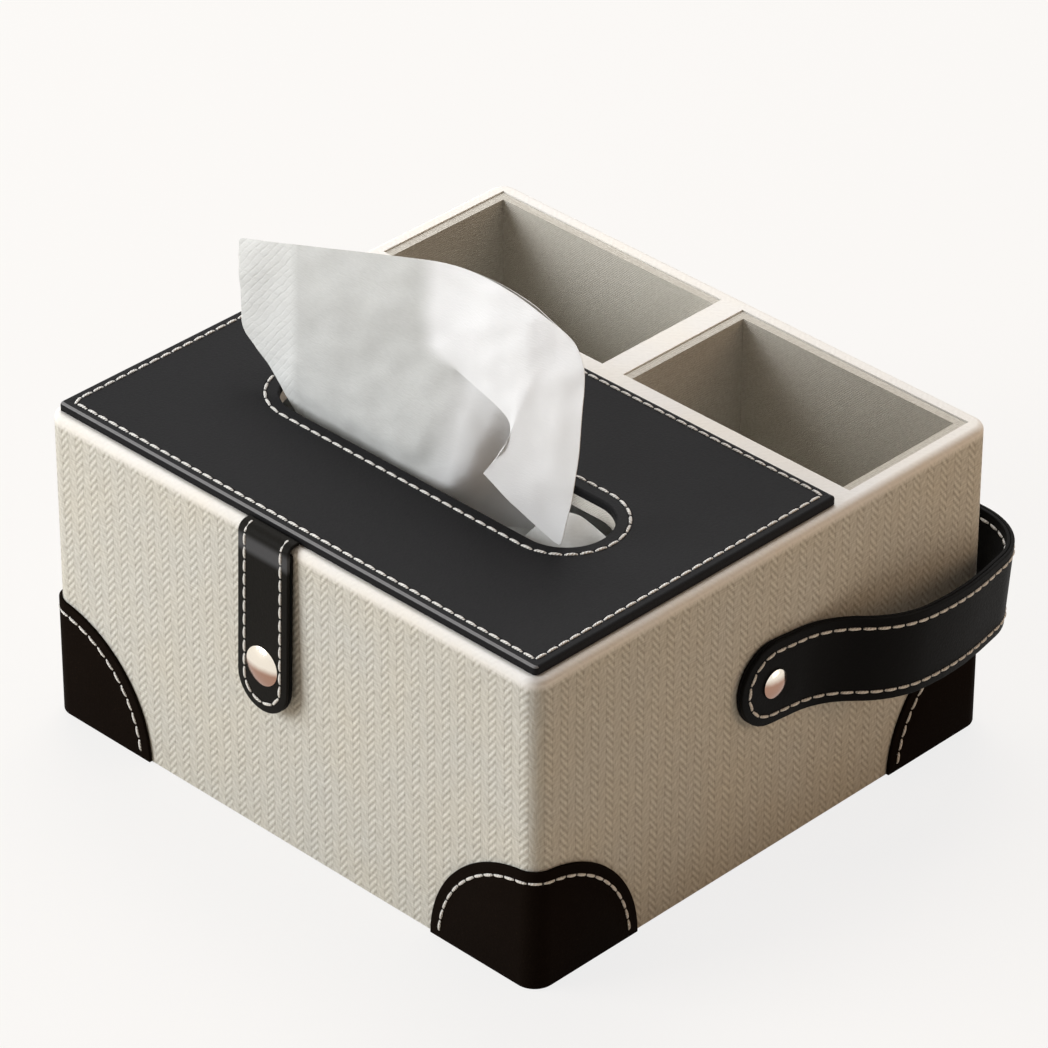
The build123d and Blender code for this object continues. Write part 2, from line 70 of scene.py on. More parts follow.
round_right, raised, roll = math.radians(44.515), math.radians(33.169), math.radians(0.12)
towards_camera = Vector((math.sin(round_right) * math.cos(raised),
                         -math.cos(round_right) * math.cos(raised),
                         math.sin(raised)))
camera.rotation_mode = "QUATERNION"
camera.rotation_quaternion = ((-towards_camera).to_track_quat("-Z", "Y")
                              @ Quaternion((0, 0, 1), roll))
camera.location = (1.14576, -1.16266, 1.14159)
print("camera stands", round(camera.location.length, 2), "m away")

# %% [markdown]
# ## How a finish is written
# A finish is a small net of nodes. What a node gives is kept as a Value, and arithmetic on values is
# written as arithmetic: each step of it adds its own node. So a weave or a grain reads like its formula.

# %% Helpers for finishes
class Value:
    """What a node gives at each point: a number, a place, a colour or a shader."""

    def __init__(self, socket):
        self.socket = socket

    def step(self, operation, *others):
        """One step of arithmetic, named as the Math node names it."""
        return node("Math", dict(enumerate((self, *others))), operation=operation)

    def __add__(self, other):
        return self.step("ADD", other)

    def __sub__(self, other):
        return self.step("SUBTRACT", other)

    def __rsub__(self, other):
        return self.step("MULTIPLY_ADD", -1.0, other)

    def __mul__(self, other):
        return self.step("MULTIPLY", other)

    def __truediv__(self, other):
        return self.step("DIVIDE", other)

    def __pow__(self, other):
        return self.step("POWER", other)

    def __abs__(self):
        return self.step("ABSOLUTE")


def node(kind, inputs, output=0, tree=None, **settings):
    """Adds one node, joins or sets its inputs, and gives one of its outputs. It joins the net of its
    inputs, and tree is needed only where no input is a Value."""
    tree = tree or next(value.socket.id_data for value in inputs.values() if isinstance(value, Value))
    made = tree.nodes.new("ShaderNode" + kind)
    for setting, value in settings.items():
        setattr(made, setting, value)
    for socket, value in inputs.items():
        if isinstance(value, Value):
            tree.links.new(value.socket, made.inputs[socket])
        else:
            made.inputs[socket].default_value = value
    return Value(made.outputs[output])


def mix(share, low, high):
    """A colour between low and high."""
    return node("Mix", {0: share, 6: low, 7: high}, 2, data_type="RGBA")


def ramp(value, start, end, low=0.0, high=1.0, **settings):
    """low where the value is at start, high where it is at end, and even in between."""
    return node("MapRange", {0: value, 1: start, 2: end, 3: low, 4: high}, **settings)


def held(value):
    """The value, kept between 0 and 1."""
    return node("Clamp", {0: value})


def speckle(where, per_mm, detail=2.0):
    """Soft noise from 0 to 1, with this many lumps in a millimetre."""
    return node("TexNoise", {"Vector": where, "Scale": per_mm, "Detail": detail})


def new_finish(name, **shader_values):
    """A material whose shader has these constant values, named as its sockets with _ for a space."""
    finish = bpy.data.materials.new(name)
    finish.use_nodes = True
    shader = finish.node_tree.nodes["Principled BSDF"]
    for socket, value in shader_values.items():
        shader.inputs[socket.replace("_", " ")].default_value = value
    return finish


def place_in_mm(finish):
    """The point on the piece, in millimetres, as a vector and as its x, y and z."""
    place = node("TexCoord", {}, "Object", finish.node_tree)
    where = node("VectorMath", {0: place, "Scale": 1000.0}, operation="SCALE")
    return where, *(node("SeparateXYZ", {0: where}, axis) for axis in range(3))


def use(finish, colour, height, depth, roughness=None):
    """Joins what a finish worked out to its shader. Depth is the relief's depth in millimetres."""
    tree = finish.node_tree
    relief = node("Bump", {"Height": height, "Strength": 1.0, "Distance": depth * mm})
    for socket, value in (("Base Color", colour), ("Roughness", roughness), ("Normal", relief)):
        if value is not None:
            tree.links.new(value.socket, tree.nodes["Principled BSDF"].inputs[socket])
    return finish


def dress(piece, finish):
    """Gives a whole piece one finish."""
    piece.data.materials.clear()
    piece.data.materials.append(finish)


def dress_solids(finish, *names):
    """Gives these CAD solids one finish."""
    for name in names:
        dress(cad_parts[name], finish)


print("helpers ready")

# %% [markdown]
# ## Floor, sky and lamps
# The box stands on a plain pale floor. A large soft lamp from the front left lights the front wall and
# leaves the right wall in half shade, which shows the box's shape. A lamp high behind lights the lid, and
# a weak warm one fills the right. The sky is even. What the camera or a reflection sees of it is white,
# while the light that it gives is lower, so the background doesn't bleach the cloth.

# %% Floor
def start_clean():
    """Back to object mode with nothing selected, so that the next operator acts on one piece only."""
    if bpy.context.object and bpy.context.object.mode != "OBJECT":
        bpy.ops.object.mode_set(mode="OBJECT")
    bpy.ops.object.select_all(action="DESELECT")


def show_differently(tree, share, lit, seen, output):
    """Rays from the camera, mirrors and glass get this share of another shader than the light on things."""
    rays = node("LightPath", {}, 0, tree).socket.node.outputs
    eye, mirror, glass = (Value(rays["Is %s Ray" % kind]) for kind in ("Camera", "Glossy", "Transmission"))
    factor = eye.step("MAXIMUM", mirror).step("MAXIMUM", glass) * share
    blend = node("MixShader", {0: factor, 1: Value(lit.outputs[0]), 2: seen})
    tree.links.new(blend.socket, tree.nodes[output].inputs[0])


start_clean()
bpy.ops.mesh.primitive_grid_add(x_subdivisions=2, y_subdivisions=2, size=12.0)
floor = bpy.context.object
floor.name = "studio_floor"

white = (1, 1, 1, 1)
paper = new_finish("floor_paper", Base_Color=(0.68, 0.60, 0.50, 1), Roughness=0.9)
paper_net = paper.node_tree
show_differently(paper_net, 0.82, paper_net.nodes["Principled BSDF"],
                 node("Emission", {"Color": white}, 0, paper_net), "Material Output")
dress(floor, paper)
print("floor is", floor.dimensions.x, "m wide")

# %% Sky
sky = bpy.data.worlds.new("sky")
bpy.context.scene.world = sky
sky.use_nodes = True
sky_light = sky.node_tree.nodes["Background"]
sky_light.inputs["Color"].default_value = (1.0, 0.79, 0.61, 1)
sky_light.inputs["Strength"].default_value = 0.185
show_differently(sky.node_tree, 1.0, sky_light,
                 node("Background", {"Color": white, "Strength": 1.0}, 0, sky.node_tree), "World Output")
bpy.context.scene.view_settings.view_transform = "Standard"
print("sky strength on things", sky_light.inputs["Strength"].default_value)


# %% Lamps
def add_soft_lamp(name, place, side, watts, colour):
    """A square studio lamp that faces the middle of the box."""
    start_clean()
    bpy.ops.object.light_add(type="AREA", location=place)
    lamp = bpy.context.object
    lamp.name = name
    lamp.data.size = side
    lamp.data.energy = watts
    lamp.data.color = colour
    aim = Vector((0, 0, 0.06)) - Vector(place)
    lamp.rotation_mode = "QUATERNION"
    lamp.rotation_quaternion = aim.to_track_quat("-Z", "Y")


add_soft_lamp("window_lamp", (-1.05, -1.35, 0.75), 1.1, 29.5, (0.97, 0.99, 1.0))
add_soft_lamp("top_lamp", (-0.55, 0.6, 1.45), 1.0, 19.0, (1.0, 0.99, 0.98))
add_soft_lamp("warm_fill", (0.60, 0.30, 0.25), 0.35, 0.55, (1.0, 0.66, 0.40))

# %% [markdown]
# ## Herringbone cloth
# The walls are covered with a linen-like herringbone. In such a weave a slanting rib climbs to one side
# for a few threads, then turns back, so upright stripes of slanting ribs lie side by side. The slant comes
# from two numbers: how far a point is up the cloth, and how far it is across a stripe, folded back and
# forth. A sine of their sum draws the ribs. One stripe of each pair is made much fainter, as light from
# one side does it, and noise makes some yarns thicker and others darker. Over the rim the cloth is painted
# nearly white, as painted light from above, and its ribs are hardly seen. All of it is measured from
# the point's own place in millimetres, so the weave has its real size and needs no picture.

# %% Herringbone
stripe = 3.33      # width of one stripe, mm
rib = 2.96         # height of one rib, mm
slant = 0.457      # ribs per millimetre across
wall_x, wall_y, wall_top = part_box("outer_cover")[1] / mm


def herringbone(name, across, upward, lift=0.0):
    """Linen herringbone. across and upward are functions that give a cloth's two directions in mm."""
    cloth = new_finish(name, Roughness=0.88, Sheen_Weight=0.25, Sheen_Roughness=0.5,
                       Specular_IOR_Level=0.25)
    where, x, y, z = place_in_mm(cloth)
    over, up = across(x, y, z), upward(x, y, z)
    over = over + (speckle(where, 0.22) - 0.5) * 0.9
    fold = over.step("PINGPONG", stripe)
    fainter = (over / stripe).step("WRAP", 2.0, 0.0).step("GREATER_THAN", 1.0) * 0.70 + 0.30
    seam = (abs(fold / stripe - 0.5) * 2.0) ** 6.0 * 0.35
    upright = node("CombineXYZ", {0: over * 2.4, 1: up * 0.22})
    level = node("CombineXYZ", {0: over * 0.16, 1: up * 2.2})
    slubs = speckle(upright, 1.0) + speckle(level, 1.0) - 1.0
    knots = speckle(where, 0.45, 1.0) * 1.6 + 0.2
    ribs = ((up / rib + fold * slant) * (2 * math.pi)).step("SINE") * (fainter * knots)
    tone = held(ribs * 0.25 + slubs * 0.75 - seam * fainter + (0.60 + lift))
    yarn = mix(tone, (0.345, 0.328, 0.285, 1), (0.765, 0.765, 0.715, 1))
    # Painted light: the top few millimetres of the wall, where it turns over the rim, are painted nearly white and
    # their relief fades, as light from above would show them.
    rim_painted_light = ramp(z, wall_top - 4.6, wall_top - 2.4, 0.0, 0.82)
    yarn = mix(rim_painted_light, yarn, (0.96, 0.95, 0.93, 1))
    warmer = mix(speckle(where, 0.035, 3.0), (1.03, 1.0, 0.94, 1), (0.97, 1.0, 1.05, 1))
    colour = node("Mix", {0: 1.0, 6: yarn, 7: warmer}, 2, data_type="RGBA", blend_type="MULTIPLY")
    return use(cloth, colour, (ribs * 0.6 + slubs * 0.9) * (1.0 - rim_painted_light * 1.10), 0.12)


def wall_across(x, y, z):
    """Along the front and rear walls this is x, and along the side walls it is -y."""
    on_side = (abs(x) - abs(y)).step("GREATER_THAN", wall_x - wall_y)
    return x * (1.0 - on_side) - y * on_side


def wall_upward(x, y, z):
    """Height, and then on over the rim, because the same cloth is folded inwards there."""
    return z + (wall_x - abs(x)).step("MINIMUM", wall_y - abs(y))


wall_cloth = herringbone("wall_cloth", wall_across, wall_upward)
inner_lift = 0.08  # the cloth inside is a little lighter
dress_solids(herringbone("partition_cloth", lambda x, y, z: x, lambda x, y, z: y + z, inner_lift),
             "partition_cover")
dress_solids(herringbone("divider_cloth", lambda x, y, z: y, lambda x, y, z: x + z, inner_lift),
             "divider_cover")
print("one pair of stripes is", 2 * stripe, "mm wide")

# %% [markdown]
# ## Lining cloth, felt and board
# Inside, the bays and the tissue chamber are lined with a plain linen weave, warp over weft. It is a
# checker of two fine waves. The base has a sheet of short grey felt, and the boards under the cloth are
# grey pulp board with specks. They hardly show, but they are what is seen when the lid stands open.

# %% Lining, felt and board
def plain_weave(name, dark, light):
    """A fine plain weave: threads both ways, about two in a millimetre."""
    cloth = new_finish(name, Roughness=0.9, Sheen_Weight=0.2, Specular_IOR_Level=0.2)
    where, x, y, z = place_in_mm(cloth)
    height = ((x + y) * 7.0).step("SINE") * ((z - y) * 7.0).step("SINE")
    tone = held(height * 0.18 + (speckle(where, 0.9, 3.0) - 0.5) * 1.1 + 0.5)
    return use(cloth, mix(tone, dark, light), height, 0.10)


def speckled(name, per_mm, detail, dark, light, depth, **shader_values):
    """A dull stuff with specks that also give its relief, such as felt or pulp board."""
    stuff = new_finish(name, **shader_values)
    specks = speckle(place_in_mm(stuff)[0], per_mm, detail)
    return use(stuff, mix(specks, dark, light), specks, depth)


lining = plain_weave("lining_cloth", (0.52, 0.49, 0.43, 1), (0.76, 0.735, 0.67, 1))
lid_lining = plain_weave("lid_lining_cloth", (0.70, 0.67, 0.61, 1), (0.88, 0.85, 0.79, 1))
felt = speckled("base_felt", 2.2, 6.0, (0.03, 0.03, 0.032, 1), (0.10, 0.10, 0.105, 1), 0.3,
                Roughness=0.95, Sheen_Weight=0.4)
board = speckled("grey_board", 1.2, 8.0, (0.20, 0.19, 0.17, 1), (0.42, 0.40, 0.36, 1), 0.08,
                 Roughness=0.85)
dress_solids(lining, "chamber_lining", "left_bay_tray", "right_bay_tray")
dress_solids(lid_lining, "lid_panel")
dress_solids(felt, "bottom_cover")
dress_solids(board, *(part + "_board" for part in ("base", "front", "rear", "left", "right", "partition",
                                                   "divider", "lid")))
print("lined nodes dressed")

# %% [markdown]
# ## Black leather
# The lid, guards, tab and strap are black coated leather with a fine grain: small closed cells with
# narrow creases between them, half a millimetre to one across. Cells come from a Voronoi texture, and
# wide soft noise changes the gloss a little, as hands do. Where the thread is sewn the leather is pulled
# down, so the lid's finish also presses a shallow channel along its two seams. The lid's front edge and
# the tab's fold get a painted highlight: their colour is painted grey where light catches their round.

# %% Leather
def leather_look(name, tint, gloss, shine, channel=None, highlight_band=None):
    """Grained black leather. channel gives the distance from a seam in mm, if the finish presses one.
    The last argument is two heights in mm between which the leather is painted grey, a painted highlight
    for the light that a bend catches."""
    leather = new_finish(name, Specular_IOR_Level=shine)
    where, x, y, z = place_in_mm(leather)
    drift = node("TexNoise", {"Vector": where, "Scale": 0.6, "Detail": 2.0}, 1)
    warped = node("VectorMath", {0: where, 1: drift}, operation="ADD")
    cells = node("TexVoronoi", {"Vector": warped, "Scale": 1.25}, feature="SMOOTH_F1")
    pores = speckle(where, 3.5, 4.0)
    height = pores * 0.35 - cells
    wear = speckle(where, 0.03, 3.0)
    worn = tuple(min(1.0, value * 1.9 + 0.004) for value in tint)
    colour = mix(wear * pores, (*tint, 1), (*worn, 1))
    # Painted highlight: between the two heights the colour is mixed to grey, standing in for the light on a bend.
    if highlight_band:
        middle, reach = (highlight_band[0] + highlight_band[1]) / 2, (highlight_band[1] - highlight_band[0]) / 2
        share = ramp(abs(z - middle), 0.3 * reach, reach, 1.0, 0.0, interpolation_type="SMOOTHSTEP")
        colour = mix(share, colour, (0.075, 0.077, 0.082, 1))
    if channel:
        height = height + ramp(channel(x, y), 0.2, 1.0, -4.0, 0.0)
    return use(leather, colour, height, 0.07, wear * 0.16 + gloss + cells * 0.10)


slot_x, slot_y = 3.0, -36.15
edge_seam_x, edge_seam_front, edge_seam_rear = 103.7, -97.8, 30.2
slot_seam_radius, slot_seam_reach = 20.2, 53.4


def lid_channel(x, y):
    """How far a point on the lid is from the nearer of its two seams."""
    middle, half = (edge_seam_front + edge_seam_rear) / 2, (edge_seam_rear - edge_seam_front) / 2
    edge = abs((abs(x) - edge_seam_x).step("MAXIMUM", abs(y - middle) - half))
    past = (abs(x - slot_x) - slot_seam_reach).step("MAXIMUM", 0.0)
    away = y - slot_y
    round_slot = abs((past * past + away * away).step("SQRT") - slot_seam_radius)
    return edge.step("MINIMUM", round_slot)


lid_hide = leather_look("lid_leather_black", (0.0092, 0.0092, 0.0100), 0.42, 0.055, lid_channel)
# A pale grey leather, used only as a painted highlight on the lid's front edge.
painted_edge_highlight = leather_look("edge_highlight_leather", (0.14, 0.14, 0.145), 0.30, 0.20)
# The tab's fold, from 107 to 115.4 mm up, gets a painted highlight: a grey band standing in for light on the bend.
tab_hide = leather_look("tab_leather_black", (0.0082, 0.0076, 0.0066), 0.40, 0.035, None, (107.0, 115.4))
hide = leather_look("strap_leather_black", (0.0034, 0.0032, 0.0030), 0.40, 0.035)
guard_hide = leather_look("guard_leather_black", (0.0058, 0.0037, 0.0026), 0.42, 0.003)
dress_solids(lid_hide, "lid_leather", "tab_tongue")
dress_solids(hide, "hinge_leaf_lid", "hinge_leaf_box")
# Painted highlight: faces on the front of the lid's rounded top edge get the pale grey leather, standing in for the
# light that the round catches.
lid_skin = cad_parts["lid_leather"].data
lid_skin.materials.append(painted_edge_highlight)
for face in lid_skin.polygons:
    on_round = 0.55 < face.normal.z < 0.99 and face.normal.y < -0.1
    face.material_index = 1 if on_round and face.center.y < (edge_seam_front - 1.5) * mm else 0
print("the lid's seams are pressed in at", edge_seam_x, "and", slot_seam_radius, "mm")

# %% [markdown]
# ## Metal
# The cap on the tab and the rivets of the strap are polished, rosy metal, which soon takes fine
# scratches. A painted reflection splits them: the upper half is painted a pale cream, as if it mirrored
# bright light above, and the lower half a darker copper, as if it mirrored dark surroundings below.
# The hidden snap disc, the magnet and the washers are brushed steel with fine parallel lines.

# %% Metal
polished = new_finish("polished_cap_metal", Metallic=1.0)
where, x, y, z = place_in_mm(polished)
scratches = speckle(where, 1.4, 6.0)
# Painted reflection: from 68 to 71 mm up the colour turns from dark copper to pale cream.
upper_reflection_share = ramp(z + speckle(where, 0.25), 68.0, 71.0, interpolation_type="SMOOTHSTEP")
use(polished, mix(upper_reflection_share, (0.40, 0.235, 0.17, 1), (0.90, 0.83, 0.72, 1)), scratches, 0.004,
    scratches * 0.16 + 0.06)

steel = new_finish("brushed_steel", Metallic=1.0)
where, x, y, z = place_in_mm(steel)
lines = speckle(node("CombineXYZ", {0: x * 0.2, 1: y * 6.0, 2: z * 6.0}), 1.0, 3.0)
use(steel, mix(lines, (0.42, 0.42, 0.43, 1), (0.62, 0.62, 0.63, 1)), lines, 0.01, lines * 0.2 + 0.25)
dress_solids(steel, "snap_strike", "snap_washer", "tab_magnet", "handle_washer_left", "handle_washer_right")
print("metal ready")

# %% [markdown]
# ## Finishing helpers for new pieces
# A new piece is shaped in edit mode, then finished with modifiers that are applied at once, so the mesh
# that is seen is the mesh that is kept. These helpers are used for every piece below.

# %% Edit and modifier helpers
def only(piece):
    """Makes this piece the active one, and the only one that is selected."""
    start_clean()
    bpy.context.view_layer.objects.active = piece
    piece.select_set(True)


def edit(piece, mode="VERT", selected=False):
    """Into edit mode on one piece, with nothing selected in it, or all of it."""
    only(piece)
    bpy.ops.object.mode_set(mode="EDIT")
    bpy.ops.mesh.select_mode(type=mode)
    bpy.ops.mesh.select_all(action="SELECT" if selected else "DESELECT")


def pick(piece, wanted, kind="verts"):
    """In edit mode, selects just the vertices, edges or faces for which wanted is true."""
    mesh = bmesh.from_edit_mesh(piece.data)
    for element in (*mesh.faces, *mesh.edges, *mesh.verts):
        element.select = False
    for element in getattr(mesh, kind):
        if wanted(element):
            element.select = True
    mesh.select_flush_mode()
    bmesh.update_edit_mesh(piece.data)


def apply_modifier(piece, kind, **settings):
    """Adds one modifier, sets it and applies it."""
    only(piece)
    modifier = piece.modifiers.new(kind.lower(), kind)
    for setting, value in settings.items():
        setattr(modifier, setting, value)
    bpy.ops.object.modifier_apply(modifier=modifier.name)


def round_edges(piece, width, segments=3, angle=50):
    """Rounds the edges that are sharper than this angle, in degrees. width is in mm."""
    apply_modifier(piece, "BEVEL", width=width * mm, segments=segments, limit_method="ANGLE",
                   angle_limit=math.radians(angle))


def settle(piece, name, finish, sharp=35):
    """Names a finished piece, puts its place into its mesh, and shades it smooth but for its creases."""
    only(piece)
    bpy.ops.object.transform_apply(location=True, rotation=True, scale=True)
    bpy.ops.object.shade_smooth_by_angle(angle=math.radians(sharp))
    piece.name = name
    piece.data.name = name
    dress(piece, finish)
    print(name, [round(side / mm, 1) for side in piece.dimensions], len(piece.data.polygons), "faces")


def merge(piece):
    """Merges doubled points, and leaves the piece in edit mode."""
    edit(piece, selected=True)
    bpy.ops.mesh.remove_doubles(threshold=0.01 * mm)


def outwards(piece):
    """Merges doubled points and turns all faces outwards."""
    merge(piece)
    bpy.ops.mesh.normals_make_consistent(inside=False)
    bpy.ops.object.mode_set(mode="OBJECT")


def merged_copy(solid):
    """A new piece with a copy of a CAD solid's mesh, its loose triangles merged, in edit mode."""
    start_clean()
    bpy.ops.mesh.primitive_plane_add(size=1.0)
    piece = bpy.context.object
    piece.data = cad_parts[solid].data.copy()
    merge(piece)
    return piece


def fit(piece, body, slot_name, *nodes):
    """The piece moves with a body and stands for these CAD nodes, which are hidden. slot_name is not used."""
    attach(piece, body)
    if nodes:
        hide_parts(*nodes)


print("piece helpers ready")

# %% [markdown]
# ## A rounder rim
# Cloth pulled over a board makes its top edge rounder than the solid's. The points on the outer round of
# a copy are moved away from the corner line, all in the same proportion, so that the round grows and
# stays tangent to the wall and the top. The flat faces end a little sooner, and keep their shading.

# %% Walls with their rim
rim_round, soft_round = 1.2, 2.5    # radius of the top edge as it comes, and as it becomes, mm
wall_corner = 6.0                   # radius of the walls' upright corners, mm
walls = merged_copy("outer_cover")
bpy.ops.object.mode_set(mode="OBJECT")
moved = 0
for vert in walls.data.vertices:
    x, y, z = vert.co / mm
    from_side, from_front, below = wall_x - abs(x), wall_y - abs(y), wall_top - z
    if max(from_side, from_front) < wall_corner:
        outward = Vector((wall_corner - from_side, wall_corner - from_front))
        inside = wall_corner - outward.length
        outward.normalize()
    else:
        outward = Vector((1, 0)) if from_side < from_front else Vector((0, 1))
        inside = min(from_side, from_front)
    off_round = math.hypot(rim_round - inside, rim_round - below) - rim_round
    if max(inside, below) < rim_round + 0.02 and abs(off_round) < 0.03:
        step = (soft_round / rim_round - 1) * mm
        vert.co -= step * Vector((math.copysign(inside * outward.x, x),
                                  math.copysign(inside * outward.y, y), below))
        moved += 1
settle(walls, "cloth_walls", wall_cloth)
apply_modifier(walls, "WEIGHTED_NORMAL", keep_sharp=True, weight=100)
fit(walls, "box", "herringbone_cloth", "outer_cover")
print("points moved on the rim:", moved)

# %% [markdown]
# ## Leather strips
# The carrying strap and the closing tab are made the same way: two layers of leather with one half-round
# end, fixed by a rivet or a snap, and a run that bends. A curve could be bevelled into a band, but a strip
# extruded and spun by hand keeps clean rows of faces. The end is a ring round the hole, whose one half
# is squared up. From there its front edge is extruded along each run and spun round each bend. One list
# of moves gives the strip's shape and, later, the line of its stitches. A strip is drawn at its own
# origin, x off its face and y along it, and then put in its place.

# %% The line of a strip
def strip_walk(moves, off_face):
    """For each move (length, turn) of a strip, off_face mm outside its line: the start, heading, centre,
    radius, length and turn. A turn is an angle, minus when it bends outwards."""
    spot, heading, walk = Vector((off_face, 0.0)), math.pi / 2, []
    for length, turn in moves:
        radius = (length / abs(turn) + math.copysign(off_face, turn)) if turn else 0.0
        to_centre = heading + math.copysign(math.pi / 2, turn)
        centre = spot + radius * Vector((math.cos(to_centre), math.sin(to_centre)))
        length = radius * abs(turn) if turn else length
        walk.append((spot.copy(), heading, centre, radius, length, turn))
        if turn:
            spot = centre + Matrix.Rotation(turn, 2) @ (spot - centre)
        else:
            spot = spot + length * Vector((math.cos(heading), math.sin(heading)))
        heading += turn
    return walk


def along_walk(walk, distance):
    """The point, and the direction out of the face, at a distance along a strip's line."""
    for spot, heading, centre, radius, length, turn in walk:
        if distance <= length + 1e-6:
            break
        distance -= length
    if turn:
        part = turn * distance / length
        spot, heading = centre + Matrix.Rotation(part, 2) @ (spot - centre), heading + part
    else:
        spot = spot + distance * Vector((math.cos(heading), math.sin(heading)))
    return spot, Vector((math.sin(heading), -math.cos(heading)))


# %% A layer of a strip
def strip_layer(moves, near, far, half, hole, drop):
    """One layer from near to far mm off the strip's line. The end is a half circle, drop mm below the
    hole. The other side of the ring is squared up, where the flat end stops."""
    walk = strip_walk(moves, (near + far) / 2)
    start_clean()
    bpy.ops.mesh.primitive_circle_add(vertices=32, radius=hole * mm, rotation=(0, math.pi / 2, 0),
                                      location=((near + far) / 2 * mm, 0, 0))
    strip = bpy.context.object
    bpy.ops.object.transform_apply()
    edit(strip, "EDGE", selected=True)
    bpy.ops.mesh.extrude_edges_move()
    bpy.ops.transform.resize(value=(1, half / hole, half / hole), center_override=(0, 0, 0))
    mesh = bmesh.from_edit_mesh(strip.data)
    for vert in mesh.verts:
        if vert.select and vert.co.y <= 1e-6:
            vert.co.y -= drop * mm
        elif vert.select:
            lean = vert.co.z / vert.co.y
            ahead = min(1.0, 1.0 / max(abs(lean), 1e-6))
            vert.co.y = flat_end * mm * ahead
            vert.co.z = half * mm * max(-1.0, min(1.0, lean))
    bmesh.update_edit_mesh(strip.data)
    pick(strip, lambda edge: all(v.co.y > (flat_end - 0.1) * mm for v in edge.verts), "edges")
    for count, (spot, heading, centre, radius, length, turn) in enumerate(walk):
        if turn:
            bpy.ops.mesh.spin(steps=max(3, round(abs(turn) * 12)), angle=-turn,
                              center=(centre.x * mm, centre.y * mm, 0), axis=(0, 0, 1))
        else:
            length = length - flat_end if count == 0 else length
            run = length * mm * Vector((math.cos(heading), math.sin(heading), 0))
            if length > 0.01:
                bpy.ops.mesh.extrude_edges_move(TRANSFORM_OT_translate={"value": run})
    bpy.ops.object.mode_set(mode="OBJECT")
    return strip


def finish_strip(strip, name, thickness, place, body, solid, mirrored=False, edge=0.4, look=hide):
    """Puts a strip in its place, gives it its thickness and softens its edges."""
    strip.matrix_world = place
    only(strip)
    bpy.ops.object.transform_apply(location=True, rotation=True, scale=True)
    if mirrored:
        apply_modifier(strip, "MIRROR", use_axis=(True, False, False), use_clip=True,
                       merge_threshold=0.05 * mm)
    outwards(strip)
    apply_modifier(strip, "SOLIDIFY", thickness=thickness * mm, offset=0.0, use_even_offset=True)
    round_edges(strip, edge)
    settle(strip, name, look)
    fit(strip, body, "black_leather", solid)


# %% [markdown]
# ## The carrying strap
# Each arm of the strap lies flat at its rivet, swings out from the wall, comes back in, and turns round
# the corner to pass behind the box. Half of it is made, from the right rivet to the middle of the
# crossbar, and the other half is its mirror image.

# %% Strap
strap_face, strap_half, strap_reach = 110.3, 15.0, 118.6
layer = 1.4                                # thickness of each layer of the strap
flat_end = 12.0                            # how far a strip stays flat past its rivet or snap
rivet_height, droop = 67.0, math.radians(-6.4)
swing_out, swing_long = 15.4, 44.0         # how far the arm swings out, and over what length
swing = math.atan2(swing_out, swing_long)  # half the angle of each bend of the outward swing
swing_run = swing * swing_long / math.sin(2 * swing)
taper, taper_radius, bend_radius = math.radians(15.0), 125.0, 25.0
straight = (strap_reach - flat_end - swing_long - taper_radius * math.sin(taper)
            - bend_radius * (1 - math.sin(taper))) / math.cos(taper)
strap_moves = [(flat_end, 0.0), (swing_run, -2 * swing), (swing_run, 2 * swing),
               (taper_radius * taper, taper), (straight, 0.0),
               (bend_radius * (math.pi / 2 - taper), math.pi / 2 - taper)]
bend_start = strip_walk(strap_moves, 0.0)[-1]
strap_moves.append((strap_face + bend_start[2].x, 0.0))
strap_place = (Matrix.Translation((0, 0, rivet_height * mm)) @ Matrix.Rotation(droop, 4, "X")
               @ Matrix.Translation((strap_face * mm, 0, 0)))

for name, solid, near in (("strap_inner_layer", "handle_inner", 0.0),
                          ("strap_outer_layer", "handle_outer", layer)):
    strip = strip_layer(strap_moves, near + 0.03, near + layer - 0.03, strap_half, 2.4, 0.0)
    finish_strip(strip, name, layer - 0.06, strap_place, "strap", solid, mirrored=True)

# %% [markdown]
# ## The closing tab
# The tab hangs from the lid in front of the wall. Its outer layer folds over the rim in a small round and
# ends in a knuckle at the lid's edge. Its inner layer only backs the hanging part, and holds the magnet.

# %% Tab
lid_front, lid_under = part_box("lid_leather")[0].y / mm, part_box("lid_leather")[0].z / mm
tab_slant, tab_half, hide_thick = math.radians(1.9), 11.3, 1.3
tab_x, snap_height, tip_height = -6.0, 69.0, 52.0
tab_touch = -104.4                         # the tab's inner face is this far forward at the fold
fold_out = tab_touch - 1.5 * hide_thick / math.cos(tab_slant)
fold_turn, fold_radius = math.pi / 2 - tab_slant, 3.0
fold_height = lid_under + hide_thick / 2 - fold_radius * (1 - math.cos(fold_turn))
snap_up = (fold_height - snap_height) / math.cos(tab_slant)
tip_drop = (snap_height - tip_height) / math.cos(tab_slant) - tab_half
knuckle_run = lid_front - hide_thick / 2 - 0.45 - (fold_out + fold_radius * math.sin(fold_turn))
tab_moves = [(snap_up, 0.0), (fold_radius * fold_turn, fold_turn), (knuckle_run + 0.6, 0.0)]
snap_place = Vector((tab_x, fold_out - snap_up * math.sin(tab_slant), snap_height)) * mm
tab_place = Matrix.Translation(snap_place) @ Matrix((
    (0, 0, -1, 0),
    (-math.cos(tab_slant), math.sin(tab_slant), 0, 0),
    (math.sin(tab_slant), math.cos(tab_slant), 0, 0),
    (0, 0, 0, 1)))

